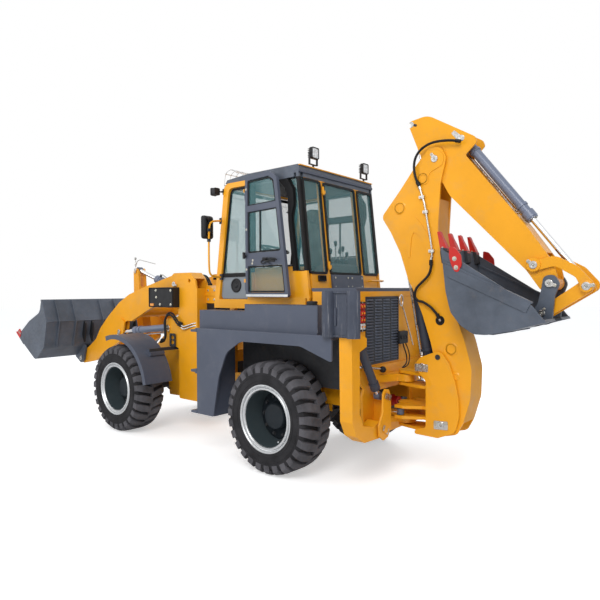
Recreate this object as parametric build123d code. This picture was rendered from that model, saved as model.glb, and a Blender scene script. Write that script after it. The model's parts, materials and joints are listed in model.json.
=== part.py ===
from build123d import *
import math
import os

# A backhoe loader with a frame that is hinged in its middle. Sizes are millimetres.
# While it is modelled, x runs forward from the rear axle, y to the left and z up from the ground.
# Every piece is moved along x before it is written, so that x = 0 is the middle of the machine.

# Clearances
PIN_GAP = 0.05
SIDE_GAP = 5
PANEL_GAP = 6

# Wheels and axles
TYRE_R = 587.5
TYRE_W = 420
TRACK_HALF = 830
RIM_R = 335
RIM_BORE = 292
HUB_R = 105
WHEELBASE = 2810
AXLE_R = 95
DIFF_R = 185

# Hinge of the two frames
ARTIC_X = 1400
ARTIC_PIN_R = 40
ARTIC_LUG_R = 75
ARTIC_LUG_T = 30
ARTIC_LOW_Z = 590
ARTIC_HIGH_Z = 1040

# Rear frame
RAIL_Y = 420
RAIL_T = 40
RAIL_Z = (700, 900)
RAIL_X = (-890, 1250)
CARRIER_X = -920
CARRIER_T = 30
CARRIER_HALF = 640

# Front frame and tower
TOWER_X = (1760, 2150)
TOWER_Y = (255, 455)
TOWER_T = 25
FRAME_BOTTOM = 450

# Loader: x, z of its pins
LIFT_PIVOT = (2240, 2010)
BUCKET_PIN = (4850, 790)
CRANK_PIN = (3720, 1720)
CRANK_TOP = (3745, 2255)
CRANK_FOOT = (3560, 1105)
BUCKET_EAR = (4676, 1058)
TILT_BASE = (2250, 1770)
LIFT_BASE = (2380, 1410)
LIFT_EYE = (3690, 1290)
ARM_Y = 355
ARM_T = 50
BUCKET_HALF = 1100

# Backhoe: x, z of its pins
SWING_X = -1080
BOOM_FOOT = (-1540, 600)
BOOM_RAM_FOOT = (-1340, 1150)
BOOM_RAM_EYE = (-1050, 2720)
DIPPER_PIN = (-1460, 3190)
DIPPER_RAM_FOOT = (-1640, 1340)
DIPPER_RAM_EYE = (-1190, 3580)
HOE_RAM_FOOT = (-1720, 3350)
GUIDE_PIN = (-2385, 2123)
GUIDE_END = (-2800, 1935)
HOE_PIN = (-2517, 1961)
HOE_EAR = (-2460, 1706)
BOOM_HALF = 135
BOOM_T = 20
DIPPER_HALF = 108
DIPPER_T = 16
KING_Y = (141, 166)
HOE_HALF = 400

# Stabilisers: y, z of their pins
LEG_PIN = (497, 552)
LEG_RAM_EYE = (449, 865)
LEG_RAM_TOP = (800, 1420)
PAD_PIN = (985, 1670)
LEG_X = (-1075, -935)

# Cab
CAB_HALF = 708
CAB_FLOOR = 1710
POST = 70
GLASS_T = 8

# Pins and rams
PIN_R = 35
SMALL_PIN_R = 22
RAM_END_GAP = 30

# Holes for tying the machine down and for lifting it
TIE_R = 30
LIFTING_R = 25

nodes = {}


def slab(points, y0, y1, radius=0.0):
    """An outline given as x, z, made solid between two y values."""
    if isinstance(radius, (int, float)) and radius == 0:
        line = Polyline(*[(x, z) for x, z in points], close=True)
    else:
        line = FilletPolyline(*[(x, z) for x, z in points], radius=radius, close=True)
    face = Plane.XZ.offset(-y1) * make_face(line.edges())
    return extrude(face, amount=y1 - y0)


def flat(points, z0, z1, radius=0.0):
    """An outline given as x, y, made solid between two heights."""
    if radius == 0:
        line = Polyline(*points, close=True)
    else:
        line = FilletPolyline(*points, radius=radius, close=True)
    return extrude(Plane.XY.offset(z0) * make_face(line.edges()), amount=z1 - z0)


def cross(points, x0, x1, radius=0.0):
    """An outline given as y, z, made solid between two x values."""
    if radius == 0:
        line = Polyline(*points, close=True)
    else:
        line = FilletPolyline(*points, radius=radius, close=True)
    return extrude(Plane.YZ.offset(x0) * make_face(line.edges()), amount=x1 - x0)


def block(x0, x1, y0, y1, z0, z1):
    centre = ((x0 + x1) / 2, (y0 + y1) / 2, (z0 + z1) / 2)
    return Pos(*centre) * Box(x1 - x0, y1 - y0, z1 - z0)


def bar(start, end, radius):
    """A round bar between two points."""
    start, end = Vector(*start), Vector(*end)
    way = end - start
    middle = Plane(origin=start, z_dir=way)
    return middle * Cylinder(radius, way.length, align=(Align.CENTER, Align.CENTER, Align.MIN))


def pin_y(pin, radius, y0, y1):
    """A round bar across the machine, at x, z."""
    return bar((pin[0], y0, pin[1]), (pin[0], y1, pin[1]), radius)


def pin_z(x, y, radius, z0, z1):
    return bar((x, y, z0), (x, y, z1), radius)


def pin_x(pin, radius, x0, x1):
    """A round bar along the machine, at y, z."""
    return bar((x0, pin[0], pin[1]), (x1, pin[0], pin[1]), radius)


def both(shape):
    """The piece and its mirror image on the other side."""
    return shape + mirror(shape, about=Plane.XZ)


def other(shape):
    return mirror(shape, about=Plane.XZ)


def ram(base, eye, across, barrel_r, rod_r, barrel_end, rod_in, deepest, base_r, eye_r, half, base_pin_r):
    """A hydraulic cylinder from its base pin to the eye of its rod.
    across is the way its pins point; barrel_end and rod_in are lengths from the base pin;
    deepest is how far the rod travels inwards from where it stands."""
    base, eye, across = Vector(*base), Vector(*eye), Vector(*across)
    way = (eye - base).normalized()
    length = (eye - base).length
    bore = rod_r + PIN_GAP
    base_eye = bar(base - across * half, base + across * half, base_r)
    barrel = bar(base + way * (base_r * 0.6), base + way * barrel_end, barrel_r)
    gland = bar(base + way * (barrel_end - 70), base + way * (barrel_end + 12), barrel_r + 7)
    barrel = barrel + base_eye + gland
    barrel -= bar(base + way * (rod_in - deepest - RAM_END_GAP), base + way * (barrel_end + 20), bore)
    across_half = max(half, barrel_r) + 12
    barrel -= bar(base - across * across_half, base + across * across_half, base_pin_r + PIN_GAP)
    rod = bar(base + way * rod_in, base + way * (length - eye_r * 0.6), rod_r)
    rod += bar(eye - across * half, eye + across * half, eye_r)
    return barrel, rod


def wheel(x, side):
    """A tyre on its rim, turned about its axle. side is 1 for left and -1 for right."""
    half = TYRE_W / 2
    body = [
        (HUB_R + PIN_GAP, -20), (RIM_BORE - 20, -20), (RIM_BORE, -half + 30), (RIM_R, -half + 30),
        (RIM_R + 70, -half), (TYRE_R - 110, -half + 4), (TYRE_R - 30, -half + 22), (TYRE_R, -half + 62),
        (TYRE_R, half - 62), (TYRE_R - 30, half - 22), (TYRE_R - 110, half - 4), (RIM_R + 70, half),
        (RIM_R, half - 30), (RIM_BORE, half - 30), (RIM_BORE - 20, 8), (HUB_R + PIN_GAP, 8)]
    profile = Plane.XY * make_face(Polyline(*body, close=True).edges())
    solid = revolve(profile, axis=Axis.Y)
    return Pos(x, side * TRACK_HALF, TYRE_R) * solid


def axle(x):
    """A driven axle: tube, differential and the hubs that carry the wheels."""
    inner = TRACK_HALF - TYRE_W / 2 - 25
    tube = bar((x, -inner, TYRE_R), (x, inner, TYRE_R), AXLE_R)
    hubs = both(bar((x, inner - 60, TYRE_R), (x, TRACK_HALF + 55, TYRE_R), HUB_R))
    drum = both(bar((x, inner - 90, TYRE_R), (x, inner - 10, TYRE_R), HUB_R + 55))
    case = Pos(x, 0, TYRE_R) * Sphere(DIFF_R)
    return tube + hubs + drum + case


# Wheels and axles
for name, x, side in (("wheel_rear_left", 0, 1), ("wheel_rear_right", 0, -1),
                      ("wheel_front_left", WHEELBASE, 1), ("wheel_front_right", WHEELBASE, -1)):
    nodes[name] = wheel(x, side)

pad_top = RAIL_Z[0]
rear_pads = both(block(-110, 110, RAIL_Y - RAIL_T / 2, RAIL_Y + RAIL_T / 2, TYRE_R, pad_top))
nodes["rear_axle"] = axle(0) + rear_pads
FRONT_PLATE_Y = (TOWER_Y[0], TOWER_Y[0] + TOWER_T)
AXLE_SEAT_Z = 735
front_pads = both(block(WHEELBASE - 110, WHEELBASE + 110, *FRONT_PLATE_Y, TYRE_R, AXLE_SEAT_Z))
nodes["front_axle"] = axle(WHEELBASE) + front_pads

# Rear frame: two rails, the front plate with the hinge lugs, and the plate that carries the backhoe
rails = both(block(*RAIL_X, RAIL_Y - RAIL_T / 2, RAIL_Y + RAIL_T / 2, *RAIL_Z))
FRONT_PLATE_X = (1250, 1280)
frame = rails + block(*FRONT_PLATE_X, -440, 440, 560, 1150)
# openings for the steering rams
frame -= both(block(FRONT_PLATE_X[0] - 5, FRONT_PLATE_X[1] + 5, 160, 445, 590, 692))
for z in (ARTIC_LOW_Z, ARTIC_HIGH_Z):
    outline = [(FRONT_PLATE_X[0], -130), (FRONT_PLATE_X[1] + 20, -130), (ARTIC_X, -ARTIC_LUG_R),
               (ARTIC_X, ARTIC_LUG_R), (FRONT_PLATE_X[1] + 20, 130), (FRONT_PLATE_X[0], 130)]
    frame += flat(outline, z, z + ARTIC_LUG_T) + pin_z(ARTIC_X, 0, ARTIC_LUG_R, z, z + ARTIC_LUG_T)
    frame += pin_z(ARTIC_X, 0, ARTIC_PIN_R, z, z + 2 * ARTIC_LUG_T + 12)
for x in (-600, 500):
    frame += block(x - 15, x + 15, -400, 400, 740, 880)
carrier = [(-300, 425), (300, 425), (560, 425), (CARRIER_HALF - 90, 500), (590, 640), (600, 860), (560, 930),
           (CARRIER_HALF, 1000), (CARRIER_HALF, 1140), (-CARRIER_HALF, 1140), (-CARRIER_HALF, 1000),
           (-560, 930), (-600, 860), (-590, 640), (-CARRIER_HALF + 90, 500), (-560, 425)]
CARRIER = (CARRIER_X, CARRIER_X + CARRIER_T)
plate = cross(carrier, *CARRIER) - block(CARRIER[0] - 5, CARRIER[1] + 5, -345, 345, 610, 890)
# holes for tying down the rear, in the plate's lower edge
REAR_TIE = (335, 485)
plate -= both(pin_x(REAR_TIE, TIE_R, CARRIER[0] - 1, CARRIER[1] + 1))
frame += plate
SWING_LUGS = ((540, 605), (965, 1040))
LUG_R = 95
for z0, z1 in SWING_LUGS:
    lug = flat([(CARRIER[1], -300), (CARRIER[0], -300), (SWING_X + 60, -LUG_R), (SWING_X, -LUG_R),
                (SWING_X, LUG_R), (SWING_X + 60, LUG_R), (CARRIER[0], 300), (CARRIER[1], 300)], z0, z1)
    lug += pin_z(SWING_X, 0, LUG_R, z0, z1)
    frame += lug - pin_z(SWING_X, 0, PIN_R + PIN_GAP, z0 - 1, z1 + 1)
# second plates behind the stabiliser pins, and the pins themselves
LEG_PLATE_X = (-1112, -1092)
for side in (1, -1):
    cheek_outline = [(side * y, z) for y, z in
                     ((380, 560), (440, 470), (520, 450), (590, 500), (600, 600), (530, 720), (520, 900),
                      (480, 945), (420, 935), (380, 860))]
    cheek = cross(cheek_outline, *LEG_PLATE_X)
    cheek += block(LEG_PLATE_X[0], CARRIER[0], *sorted((side * 380, side * 396)), 560, 860)
    cheek += pin_x((side * LEG_PIN[0], LEG_PIN[1]), PIN_R, LEG_PLATE_X[0] - 15, CARRIER[0])
    cheek += pin_x((side * LEG_RAM_EYE[0], LEG_RAM_EYE[1]), SMALL_PIN_R, LEG_PLATE_X[0] - 12, LEG_PLATE_X[1])
    frame += cheek
# brackets of the steering rams and of the swing rams
STEER_BASE = (900, 300)
STEER_EYE = (1690, 300)
STEER_Z = 640
SWING_BASE = (-360, 300)
SWING_EYE = (-1115, 197)
SWING_Z = 682
RAM_FORK = 45
for x, y, z in ((*STEER_BASE, STEER_Z), (*SWING_BASE, SWING_Z)):
    for side in (1, -1):
        for low in (z - RAM_FORK - 16, z + RAM_FORK):
            frame += flat([(x - 60, side * (y - 45)), (x + 45, side * (y - 45)), (x + 45, side * (RAIL_Y - 15)),
                           (x - 60, side * (RAIL_Y - 15))], low, low + 16)
        frame += block(x - 60, x + 45, *sorted((side * (RAIL_Y - 20), side * RAIL_Y)),
                       z - RAM_FORK - 16, RAIL_Z[0] + 10)
        frame += pin_z(x, side * y, SMALL_PIN_R, z - RAM_FORK - 8, z + RAM_FORK + 8)
# uprights under the cab floor
for x in (-300, 1110):
    frame += both(block(x - 40, x + 40, 385, 435, RAIL_Z[1], CAB_FLOOR))
nodes["rear_frame"] = frame

nodes["engine_block"] = block(-700, 330, -370, 370, 880, 1600)

# Front frame: inner plates, tower plates, cross plates, hinge lugs
tower_front = TOWER_X[1]
column = [(TOWER_X[0], FRAME_BOTTOM), (tower_front, FRAME_BOTTOM), (tower_front, 1130),
          (tower_front + 180, 1190), (tower_front + 340, 1330), (tower_front + 340, 1460),
          (tower_front + 250, 1530), (tower_front + 5, 1570), (tower_front + 10, 1720),
          (tower_front + 180, 1950), (tower_front + 195, 2090), (tower_front + 100, 2160),
          (TOWER_X[0] + 140, 2160), (TOWER_X[0] + 40, 2060), (TOWER_X[0], 1900)]
column_r = [20, 20, 40, 60, 90, 90, 60, 30, 50, 60, 90, 60, 110, 60, 60]
outer = slab(column, TOWER_Y[1] - TOWER_T, TOWER_Y[1], column_r)
# the plates carry the axle's seat, and reach past it to the nose
SEAT_X = (WHEELBASE - 170, WHEELBASE + 190)
NOSE_X = WHEELBASE + 450
inner_plate = [(TOWER_X[0], FRAME_BOTTOM), (SEAT_X[0] - 40, FRAME_BOTTOM - 25), (SEAT_X[0], AXLE_SEAT_Z),
               (SEAT_X[1], AXLE_SEAT_Z), (SEAT_X[1] + 60, 600), (NOSE_X - 40, 600), (NOSE_X, 900),
               (WHEELBASE + 90, 1130), (tower_front + 410, 1400), (tower_front + 340, 1480),
               (tower_front + 250, 1530), (tower_front + 100, 1590), (tower_front + 150, 1700),
               (tower_front + 195, 2090), (tower_front + 100, 2160), (TOWER_X[0] + 140, 2160),
               (TOWER_X[0] + 40, 2060), (TOWER_X[0], 1900)]
inner_r = [20, 20, 20, 20, 20, 60, 60, 60, 60, 40, 40, 60, 60, 90, 60, 110, 60, 60]
inner = slab(inner_plate, *FRONT_PLATE_Y, inner_r)
# eyes for lifting the machine, and holes for tying down its front
LIFTING_EYE = (TOWER_X[0] + 160, 2050)
outer -= pin_y(LIFTING_EYE, LIFTING_R, TOWER_Y[1] - TOWER_T - 1, TOWER_Y[1] + 1)
FRONT_TIE = (200, 700)
rear_wall = block(TOWER_X[0], TOWER_X[0] + TOWER_T, TOWER_Y[0], TOWER_Y[1], FRAME_BOTTOM, 1950)
leg_wall = block(TOWER_X[1] - TOWER_T - 60, TOWER_X[1] - 60, *TOWER_Y, FRAME_BOTTOM, 1150)
cap_x = TOWER_X[0] + 70
cap = slab([(cap_x, 2070), (cap_x + 85, 2140), (cap_x + 250, 2140), (cap_x + 250, 2160), (cap_x + 75, 2160),
            (cap_x - 18, 2080)], *TOWER_Y)
front = both(outer + inner + rear_wall + leg_wall + cap)
front += block(TOWER_X[0], TOWER_X[0] + TOWER_T, -TOWER_Y[0], TOWER_Y[0], FRAME_BOTTOM, 1780)
front += block(TOWER_X[0], SEAT_X[0] - 40, -TOWER_Y[0], TOWER_Y[0], FRAME_BOTTOM, FRAME_BOTTOM + 20)
NOSE_PLATE = (NOSE_X - 35, NOSE_X - 10)
front += block(*NOSE_PLATE, -TOWER_Y[1] + 60, TOWER_Y[1] - 60, 640, 900)
front -= both(pin_x(FRONT_TIE, TIE_R, NOSE_PLATE[0] - 1, NOSE_PLATE[1] + 1))
front += block(SEAT_X[0] + 10, SEAT_X[1], -TOWER_Y[0], TOWER_Y[0], AXLE_SEAT_Z + 60, AXLE_SEAT_Z + 85)
front += both(pin_y(LIFT_PIVOT, PIN_R, TOWER_Y[0], TOWER_Y[1] + 12))
front += both(pin_y(LIFT_BASE, PIN_R, TOWER_Y[0], TOWER_Y[1] + 12))
TILT_WALL_X = (2060, 2085)
front += block(*TILT_WALL_X, -TOWER_Y[0], TOWER_Y[0], 1560, 1960)
tilt_lug = slab([(TILT_WALL_X[0], 1650), (TILT_BASE[0], TILT_BASE[1] - 60), (TILT_BASE[0] + 60, TILT_BASE[1]),
                 (TILT_BASE[0], TILT_BASE[1] + 60), (TILT_WALL_X[0], 1900)], 66, 90, [5, 40, 50, 40, 5])
front += both(tilt_lug) + pin_y(TILT_BASE, PIN_R, -98, 98)
for z in (ARTIC_LOW_Z, ARTIC_HIGH_Z):
    low = z + ARTIC_LUG_T + 1
    lug = flat([(TOWER_X[0] + 5, -150), (TOWER_X[0] - 80, -150), (ARTIC_X, -ARTIC_LUG_R), (ARTIC_X, ARTIC_LUG_R),
                (TOWER_X[0] - 80, 150), (TOWER_X[0] + 5, 150)], low, low + ARTIC_LUG_T)
    lug += pin_z(ARTIC_X, 0, ARTIC_LUG_R, low, low + ARTIC_LUG_T)
    front += lug - pin_z(ARTIC_X, 0, ARTIC_PIN_R + PIN_GAP, low - 1, low + ARTIC_LUG_T + 1)
for side in (1, -1):
    for low in (STEER_Z - RAM_FORK - 16, STEER_Z + RAM_FORK):
        front += flat([(STEER_EYE[0] - 45, side * (STEER_EYE[1] - 35)), (TOWER_X[0] + 5, side * 262),
                       (TOWER_X[0] + 5, side * 370), (STEER_EYE[0] - 45, side * (STEER_EYE[1] + 35))],
                      low, low + 16)

# Cover behind the tower, with its flange, and the valves under it
COVER_X = (1560, TOWER_X[0])
cover = slab([(COVER_X[0], 1750), (COVER_X[1], 1750), (COVER_X[1], 1990), (COVER_X[0] + 90, 1960),
              (COVER_X[0], 1900)], -300, 300, [5, 5, 5, 60, 40])
cover += block(COVER_X[0] - 12, COVER_X[1], -312, 312, 1850, 1885)
front += cover
nodes["front_frame"] = front
nodes["valve_block"] = block(COVER_X[0] + 20, COVER_X[1], -250, 290, 1480, 1750)

# Front mudguards on their bars
GUARD_R = (718, 735)
guard_ring = Plane.XZ.offset(-(TRACK_HALF + 205)) * (Circle(GUARD_R[1]) - Circle(GUARD_R[0]))
guard = Pos(WHEELBASE, 0, TYRE_R) * extrude(guard_ring, amount=415)
lip_ring = Plane.XZ.offset(-(TRACK_HALF + 205)) * (Circle(GUARD_R[1]) - Circle(GUARD_R[0] - 45))
guard += Pos(WHEELBASE, 0, TYRE_R) * extrude(lip_ring, amount=12)
keep_outline = [(WHEELBASE, TYRE_R)]
for degrees in (72, 90, 110, 130, 150, 170):
    angle = math.radians(degrees)
    reach = 1.5 * GUARD_R[1]
    keep_outline.append((WHEELBASE + reach * math.cos(angle), TYRE_R + reach * math.sin(angle)))
guard = guard & slab(keep_outline, 500, 1200)
GUARD_BAR = (WHEELBASE - 530, 1128)
guard += block(GUARD_BAR[0] - 28, GUARD_BAR[0] + 28, FRONT_PLATE_Y[1], 860, GUARD_BAR[1] - 20, GUARD_BAR[1] + 20)
guard += block(GUARD_BAR[0] - 60, GUARD_BAR[0] + 20, 640, 860, 1060, 1110)
nodes["front_mudguards"] = both(guard)

# Head lamps in boxes on the tower
LAMP_X = (2130, 2680)
lamp = block(*LAMP_X, TOWER_Y[1], 565, 1690, 1965)
nodes["head_lamps"] = both(lamp)

# Lift arm: two bent plates, a cross tube and the crank's cheeks
arm_outline = [(4850, 705), (4459, 777), (4162, 940), (3738, 1134), (3599, 1379), (2965, 1643), (2300, 1890),
               (2150, 1900), (2110, 2080), (2240, 2150), (2440, 2120), (3060, 1975), (3462, 1868), (3727, 1748),
               (4064, 1515), (4298, 1322), (4452, 1125), (4861, 880), (4935, 790)]
arm_r = [60, 200, 300, 40, 40, 300, 60, 60, 60, 60, 60, 200, 200, 200, 200, 200, 200, 60, 60]
ARM = (ARM_Y - ARM_T / 2, ARM_Y + ARM_T / 2)
arm = slab(arm_outline, *ARM, arm_r)
BOSS = (TOWER_Y[0] + TOWER_T + SIDE_GAP, TOWER_Y[1] - TOWER_T - SIDE_GAP)
arm += pin_y(LIFT_PIVOT, 95, *BOSS)
arm -= pin_y(LIFT_PIVOT, PIN_R + PIN_GAP, BOSS[0] - 1, BOSS[1] + 1)
# gap for the lift ram's eye, between two cheeks
notch = pin_y(LIFT_EYE, 115, ARM[0] - 1, ARM[1] + 1)
notch += slab([(LIFT_EYE[0], LIFT_EYE[1] - 160), (3200, 1130), (3200, 1400), (3380, 1458), (3510, 1464),
               (3620, 1430), (LIFT_EYE[0] + 20, LIFT_EYE[1] + 110)], ARM[0] - 1, ARM[1] + 1)
# with the arm at its lowest, the rod's eye stands this far above its pin
EYE_DRIFT = 92
notch += pin_y((LIFT_EYE[0] + 8, LIFT_EYE[1] + EYE_DRIFT), 68, ARM[0] - 1, ARM[1] + 1)
arm -= notch
cheek = slab([(3560, 1440), (3600, 1270), (3690, 1220), (3790, 1200), (3900, 1330), (3820, 1480), (3660, 1500)],
             ARM[1], ARM[1] + 25, 40)
cheek += Pos(0, -ARM_T - 25, 0) * cheek
cheek += pin_y(LIFT_EYE, 34, ARM[1], ARM[1] + 40) + pin_y(LIFT_EYE, 34, ARM[0] - 40, ARM[0])
arm += cheek
arm -= pin_y(BUCKET_PIN, PIN_R + PIN_GAP, ARM[0] - 1, ARM[1] + 1)
arms = both(arm)
TUBE = (3400, 1600)
arms += pin_y(TUBE, 85, -ARM[0], ARM[0])
crank_cheek = slab([(3320, 1560), (3400, 1500), (3560, 1560), (3770, 1640), (3805, 1720), (3760, 1800),
                    (3690, 1815), (3480, 1725), (3340, 1690)], 85, 110, 30)
arms += both(crank_cheek) + pin_y(CRANK_PIN, PIN_R, -110, 110)
nodes["lift_arm"] = arms

# Bell crank with a fork for the tilt ram, and the link to the bucket
crank = slab([(3680, 2230), (3745, 2320), (3810, 2230), (3805, 1720), (3630, 1085), (3560, 1035), (3490, 1120),
              (3635, 1720)], -72, 72, [50, 60, 50, 200, 50, 50, 50, 200])
crank -= block(3400, 4100, -40, 40, 1990, 2400)
crank -= block(3400, 3800, -40, 40, 1000, 1330)
crank -= pin_y(CRANK_PIN, PIN_R + PIN_GAP, -80, 80)
crank += both(pin_y(CRANK_TOP, 30, 40, 84)) + both(pin_y(CRANK_FOOT, PIN_R, 40, 84))
nodes["bell_crank"] = crank
LINK_R = 46
link_back, link_front = CRANK_FOOT[0] - LINK_R - 6, BUCKET_EAR[0] + LINK_R
link = slab([(link_back, CRANK_FOOT[1] - LINK_R), (link_back, CRANK_FOOT[1] + LINK_R),
             (link_front, BUCKET_EAR[1] + LINK_R), (link_front, BUCKET_EAR[1] - LINK_R)], -36, 36, LINK_R - 2)
link += pin_y(BUCKET_EAR, PIN_R, -84, 84)
nodes["tilt_link"] = link

# Loader bucket
shell_out = [(5600, 1125), (5030, 805), (4740, 1030), (4640, 1440), (4790, 1775)]
shell_in = [(4815, 1765), (4667, 1438), (4764, 1048), (5034, 838), (5592, 1150)]
shell = slab(shell_out + shell_in, -BUCKET_HALF, BUCKET_HALF, [0, 120, 90, 60, 0, 0, 50, 80, 100, 0])
side_outline = [(5600, 1125), (5030, 805), (4740, 1030), (4640, 1440), (4790, 1775), (4830, 1740), (4873, 1586),
                (5254, 1435), (5560, 1250)]
side_plate = slab(side_outline, BUCKET_HALF - 20, BUCKET_HALF, [0, 120, 90, 60, 0, 20, 150, 80, 30])
bucket = shell + both(side_plate)
TOOTH_COUNT = 8
TOOTH_W = 75
tooth_pitch = 2 * (BUCKET_HALF - TOOTH_W / 2) / (TOOTH_COUNT - 1)
for number in range(TOOTH_COUNT):
    y = -BUCKET_HALF + TOOTH_W / 2 + number * tooth_pitch
    bucket += slab([(5480, 1040), (5750, 1225), (5745, 1242), (5560, 1165), (5470, 1110)],
                   y - TOOTH_W / 2, y + TOOTH_W / 2)
for offset in (-55, 55):
    ear = slab([(4765, 770), (4850, 705), (4940, 760), (5040, 812), (4760, 1040), (4700, 1000)],
               ARM_Y + offset - 15, ARM_Y + offset + 15, [40, 60, 60, 10, 10, 40])
    bucket += both(ear)
bucket += both(pin_y(BUCKET_PIN, PIN_R, ARM_Y - 75, ARM_Y + 75))
for offset in (-60, 60):
    bucket += slab([(4625, 1000), (4720, 985), (4755, 1015), (4750, 1060), (4668, 1420), (4640, 1410),
                    (4618, 1130)], offset - 14, offset + 14, [45, 30, 10, 10, 10, 20, 80])
    bucket -= pin_y(BUCKET_EAR, PIN_R + PIN_GAP, offset - 15, offset + 15)
nodes["loader_bucket"] = bucket

# Lift rams, one pair of solids to a node, and the tilt ram
lift_ram = dict(barrel_r=50, rod_r=24, barrel_end=960, rod_in=330, deepest=150, base_r=62, eye_r=58,
                half=24, base_pin_r=PIN_R)
barrel, rod = ram((LIFT_BASE[0], ARM_Y, LIFT_BASE[1]), (LIFT_EYE[0], ARM_Y, LIFT_EYE[1]), (0, 1, 0), **lift_ram)
nodes["lift_ram_barrels"] = both(barrel)
nodes["lift_ram_rods"] = both(rod)
barrel, rod = ram((TILT_BASE[0], 0, TILT_BASE[1]), (CRANK_TOP[0], 0, CRANK_TOP[1]), (0, 1, 0),
                  barrel_r=58, rod_r=30, barrel_end=1060, rod_in=720, deepest=640, base_r=60, eye_r=48,
                  half=36, base_pin_r=PIN_R)
nodes["tilt_ram_barrel"] = barrel
nodes["tilt_ram_rod"] = rod

# Steering rams and swing rams lie flat
for label, side in (("left", 1), ("right", -1)):
    barrel, rod = ram((STEER_BASE[0], side * STEER_BASE[1], STEER_Z), (STEER_EYE[0], side * STEER_EYE[1], STEER_Z),
                      (0, 0, 1), barrel_r=34, rod_r=18, barrel_end=470, rod_in=245, deepest=190, base_r=38,
                      eye_r=30, half=RAM_FORK - 2, base_pin_r=SMALL_PIN_R)
    nodes["steering_ram_barrel_" + label] = barrel
    nodes["steering_ram_rod_" + label] = rod
    barrel, rod = ram((SWING_BASE[0], side * SWING_BASE[1], SWING_Z), (SWING_EYE[0], side * SWING_EYE[1], SWING_Z),
                      (0, 0, 1), barrel_r=38, rod_r=22, barrel_end=480, rod_in=300, deepest=190, base_r=40,
                      eye_r=36, half=30, base_pin_r=SMALL_PIN_R)
    nodes["swing_ram_barrel_" + label] = barrel
    nodes["swing_ram_rod_" + label] = rod

# Kingpost: two cheeks and the plates that turn on the swing pins
king_outline = [(-1243, 1152), (-1323, 1244), (-1492, 1310), (-1545, 1300), (-1617, 1208), (-1679, 1039),
                (-1715, 870), (-1721, 697), (-1679, 541), (-1505, 464), (-1242, 468), (-1270, 521),
                (-1376, 544), (-1376, 1008)]
king_r = [30, 60, 40, 40, 90, 200, 200, 200, 90, 60, 20, 20, 30, 30]
king = both(slab(king_outline, *KING_Y, king_r))
KING_PLATES = ((500, 530), (615, 645), (720, 750), (925, 955), (1050, 1080))
for z0, z1 in KING_PLATES:
    plate = flat([(SWING_X, -85), (-1300, -KING_Y[0]), (-1395, -KING_Y[0]), (-1395, KING_Y[0]),
                  (-1300, KING_Y[0]), (SWING_X, 85)], z0, z1)
    plate += pin_z(SWING_X, 0, 85, z0, z1)
    king += plate
for z0, z1 in ((615, 645), (720, 750)):
    ears = flat([(SWING_X - 85, 120), (SWING_EYE[0] + 45, SWING_EYE[1] - 45),
                 (SWING_EYE[0] + 45, SWING_EYE[1] + 45), (SWING_EYE[0] - 45, SWING_EYE[1] + 45),
                 (-1330, 150), (-1330, 60)], z0, z1)
    king += both(ears)
king -= block(-1500, -1275, -90, 90, 1000, 1100)
king += pin_z(SWING_X, 0, PIN_R, 500, 650) + pin_z(SWING_X, 0, PIN_R, 925, 1080)
king += pin_y(BOOM_FOOT, PIN_R, -KING_Y[1] - 8, KING_Y[1] + 8)
king += pin_y(BOOM_RAM_FOOT, PIN_R, -KING_Y[1] - 8, KING_Y[1] + 8)
king += both(pin_y(BOOM_RAM_FOOT, 55, 70, KING_Y[1]))
nodes["kingpost"] = king

# Boom: two bent plates, a back plate and cross tubes
boom_outline = [(-1540, 480), (-1685, 520), (-1749, 639), (-1821, 879), (-1832, 1166), (-1765, 1420),
                (-1660, 1700), (-1585, 2000), (-1490, 2470), (-1520, 2950), (-1580, 3190), (-1520, 3300),
                (-1400, 3310), (-1230, 3120), (-1080, 2930), (-861, 2675), (-969, 2510), (-1081, 2290),
                (-1172, 2010), (-1225, 1913), (-1330, 1659), (-1417, 1392), (-1474, 1164), (-1460, 800),
                (-1410, 600)]
boom_r = [90, 60, 200, 200, 300, 400, 500, 500, 400, 200, 90, 80, 90, 100, 150, 60, 100, 300, 300, 300, 400,
          400, 400, 200, 60]
plates = both(slab(boom_outline, BOOM_HALF - BOOM_T, BOOM_HALF, boom_r))
back_outer = [(-1749, 639), (-1821, 879), (-1832, 1166), (-1765, 1420), (-1660, 1700), (-1585, 2000),
              (-1490, 2470), (-1500, 2800)]
back_inner = [(x + BOOM_T, z) for x, z in reversed(back_outer)]
INNER = BOOM_HALF - BOOM_T
back_r = [0, 200, 300, 400, 500, 500, 400, 0]
boom = plates + slab(back_outer + back_inner, -INNER, INNER, back_r + back_r[::-1])
boom += pin_y(BOOM_FOOT, 80, -BOOM_HALF, BOOM_HALF)
boom -= pin_y(BOOM_FOOT, PIN_R + PIN_GAP, -BOOM_HALF - 1, BOOM_HALF + 1)
boom += pin_y(DIPPER_PIN, PIN_R, -BOOM_HALF - 8, BOOM_HALF + 8)
boom += both(pin_y(BOOM_RAM_EYE, 30, 41, BOOM_HALF + 8))
boom += pin_y(DIPPER_RAM_FOOT, PIN_R, -BOOM_HALF - 6, BOOM_HALF + 6)
boom += both(pin_y(DIPPER_RAM_FOOT, 48, 50, INNER))
nodes["boom"] = boom

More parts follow.
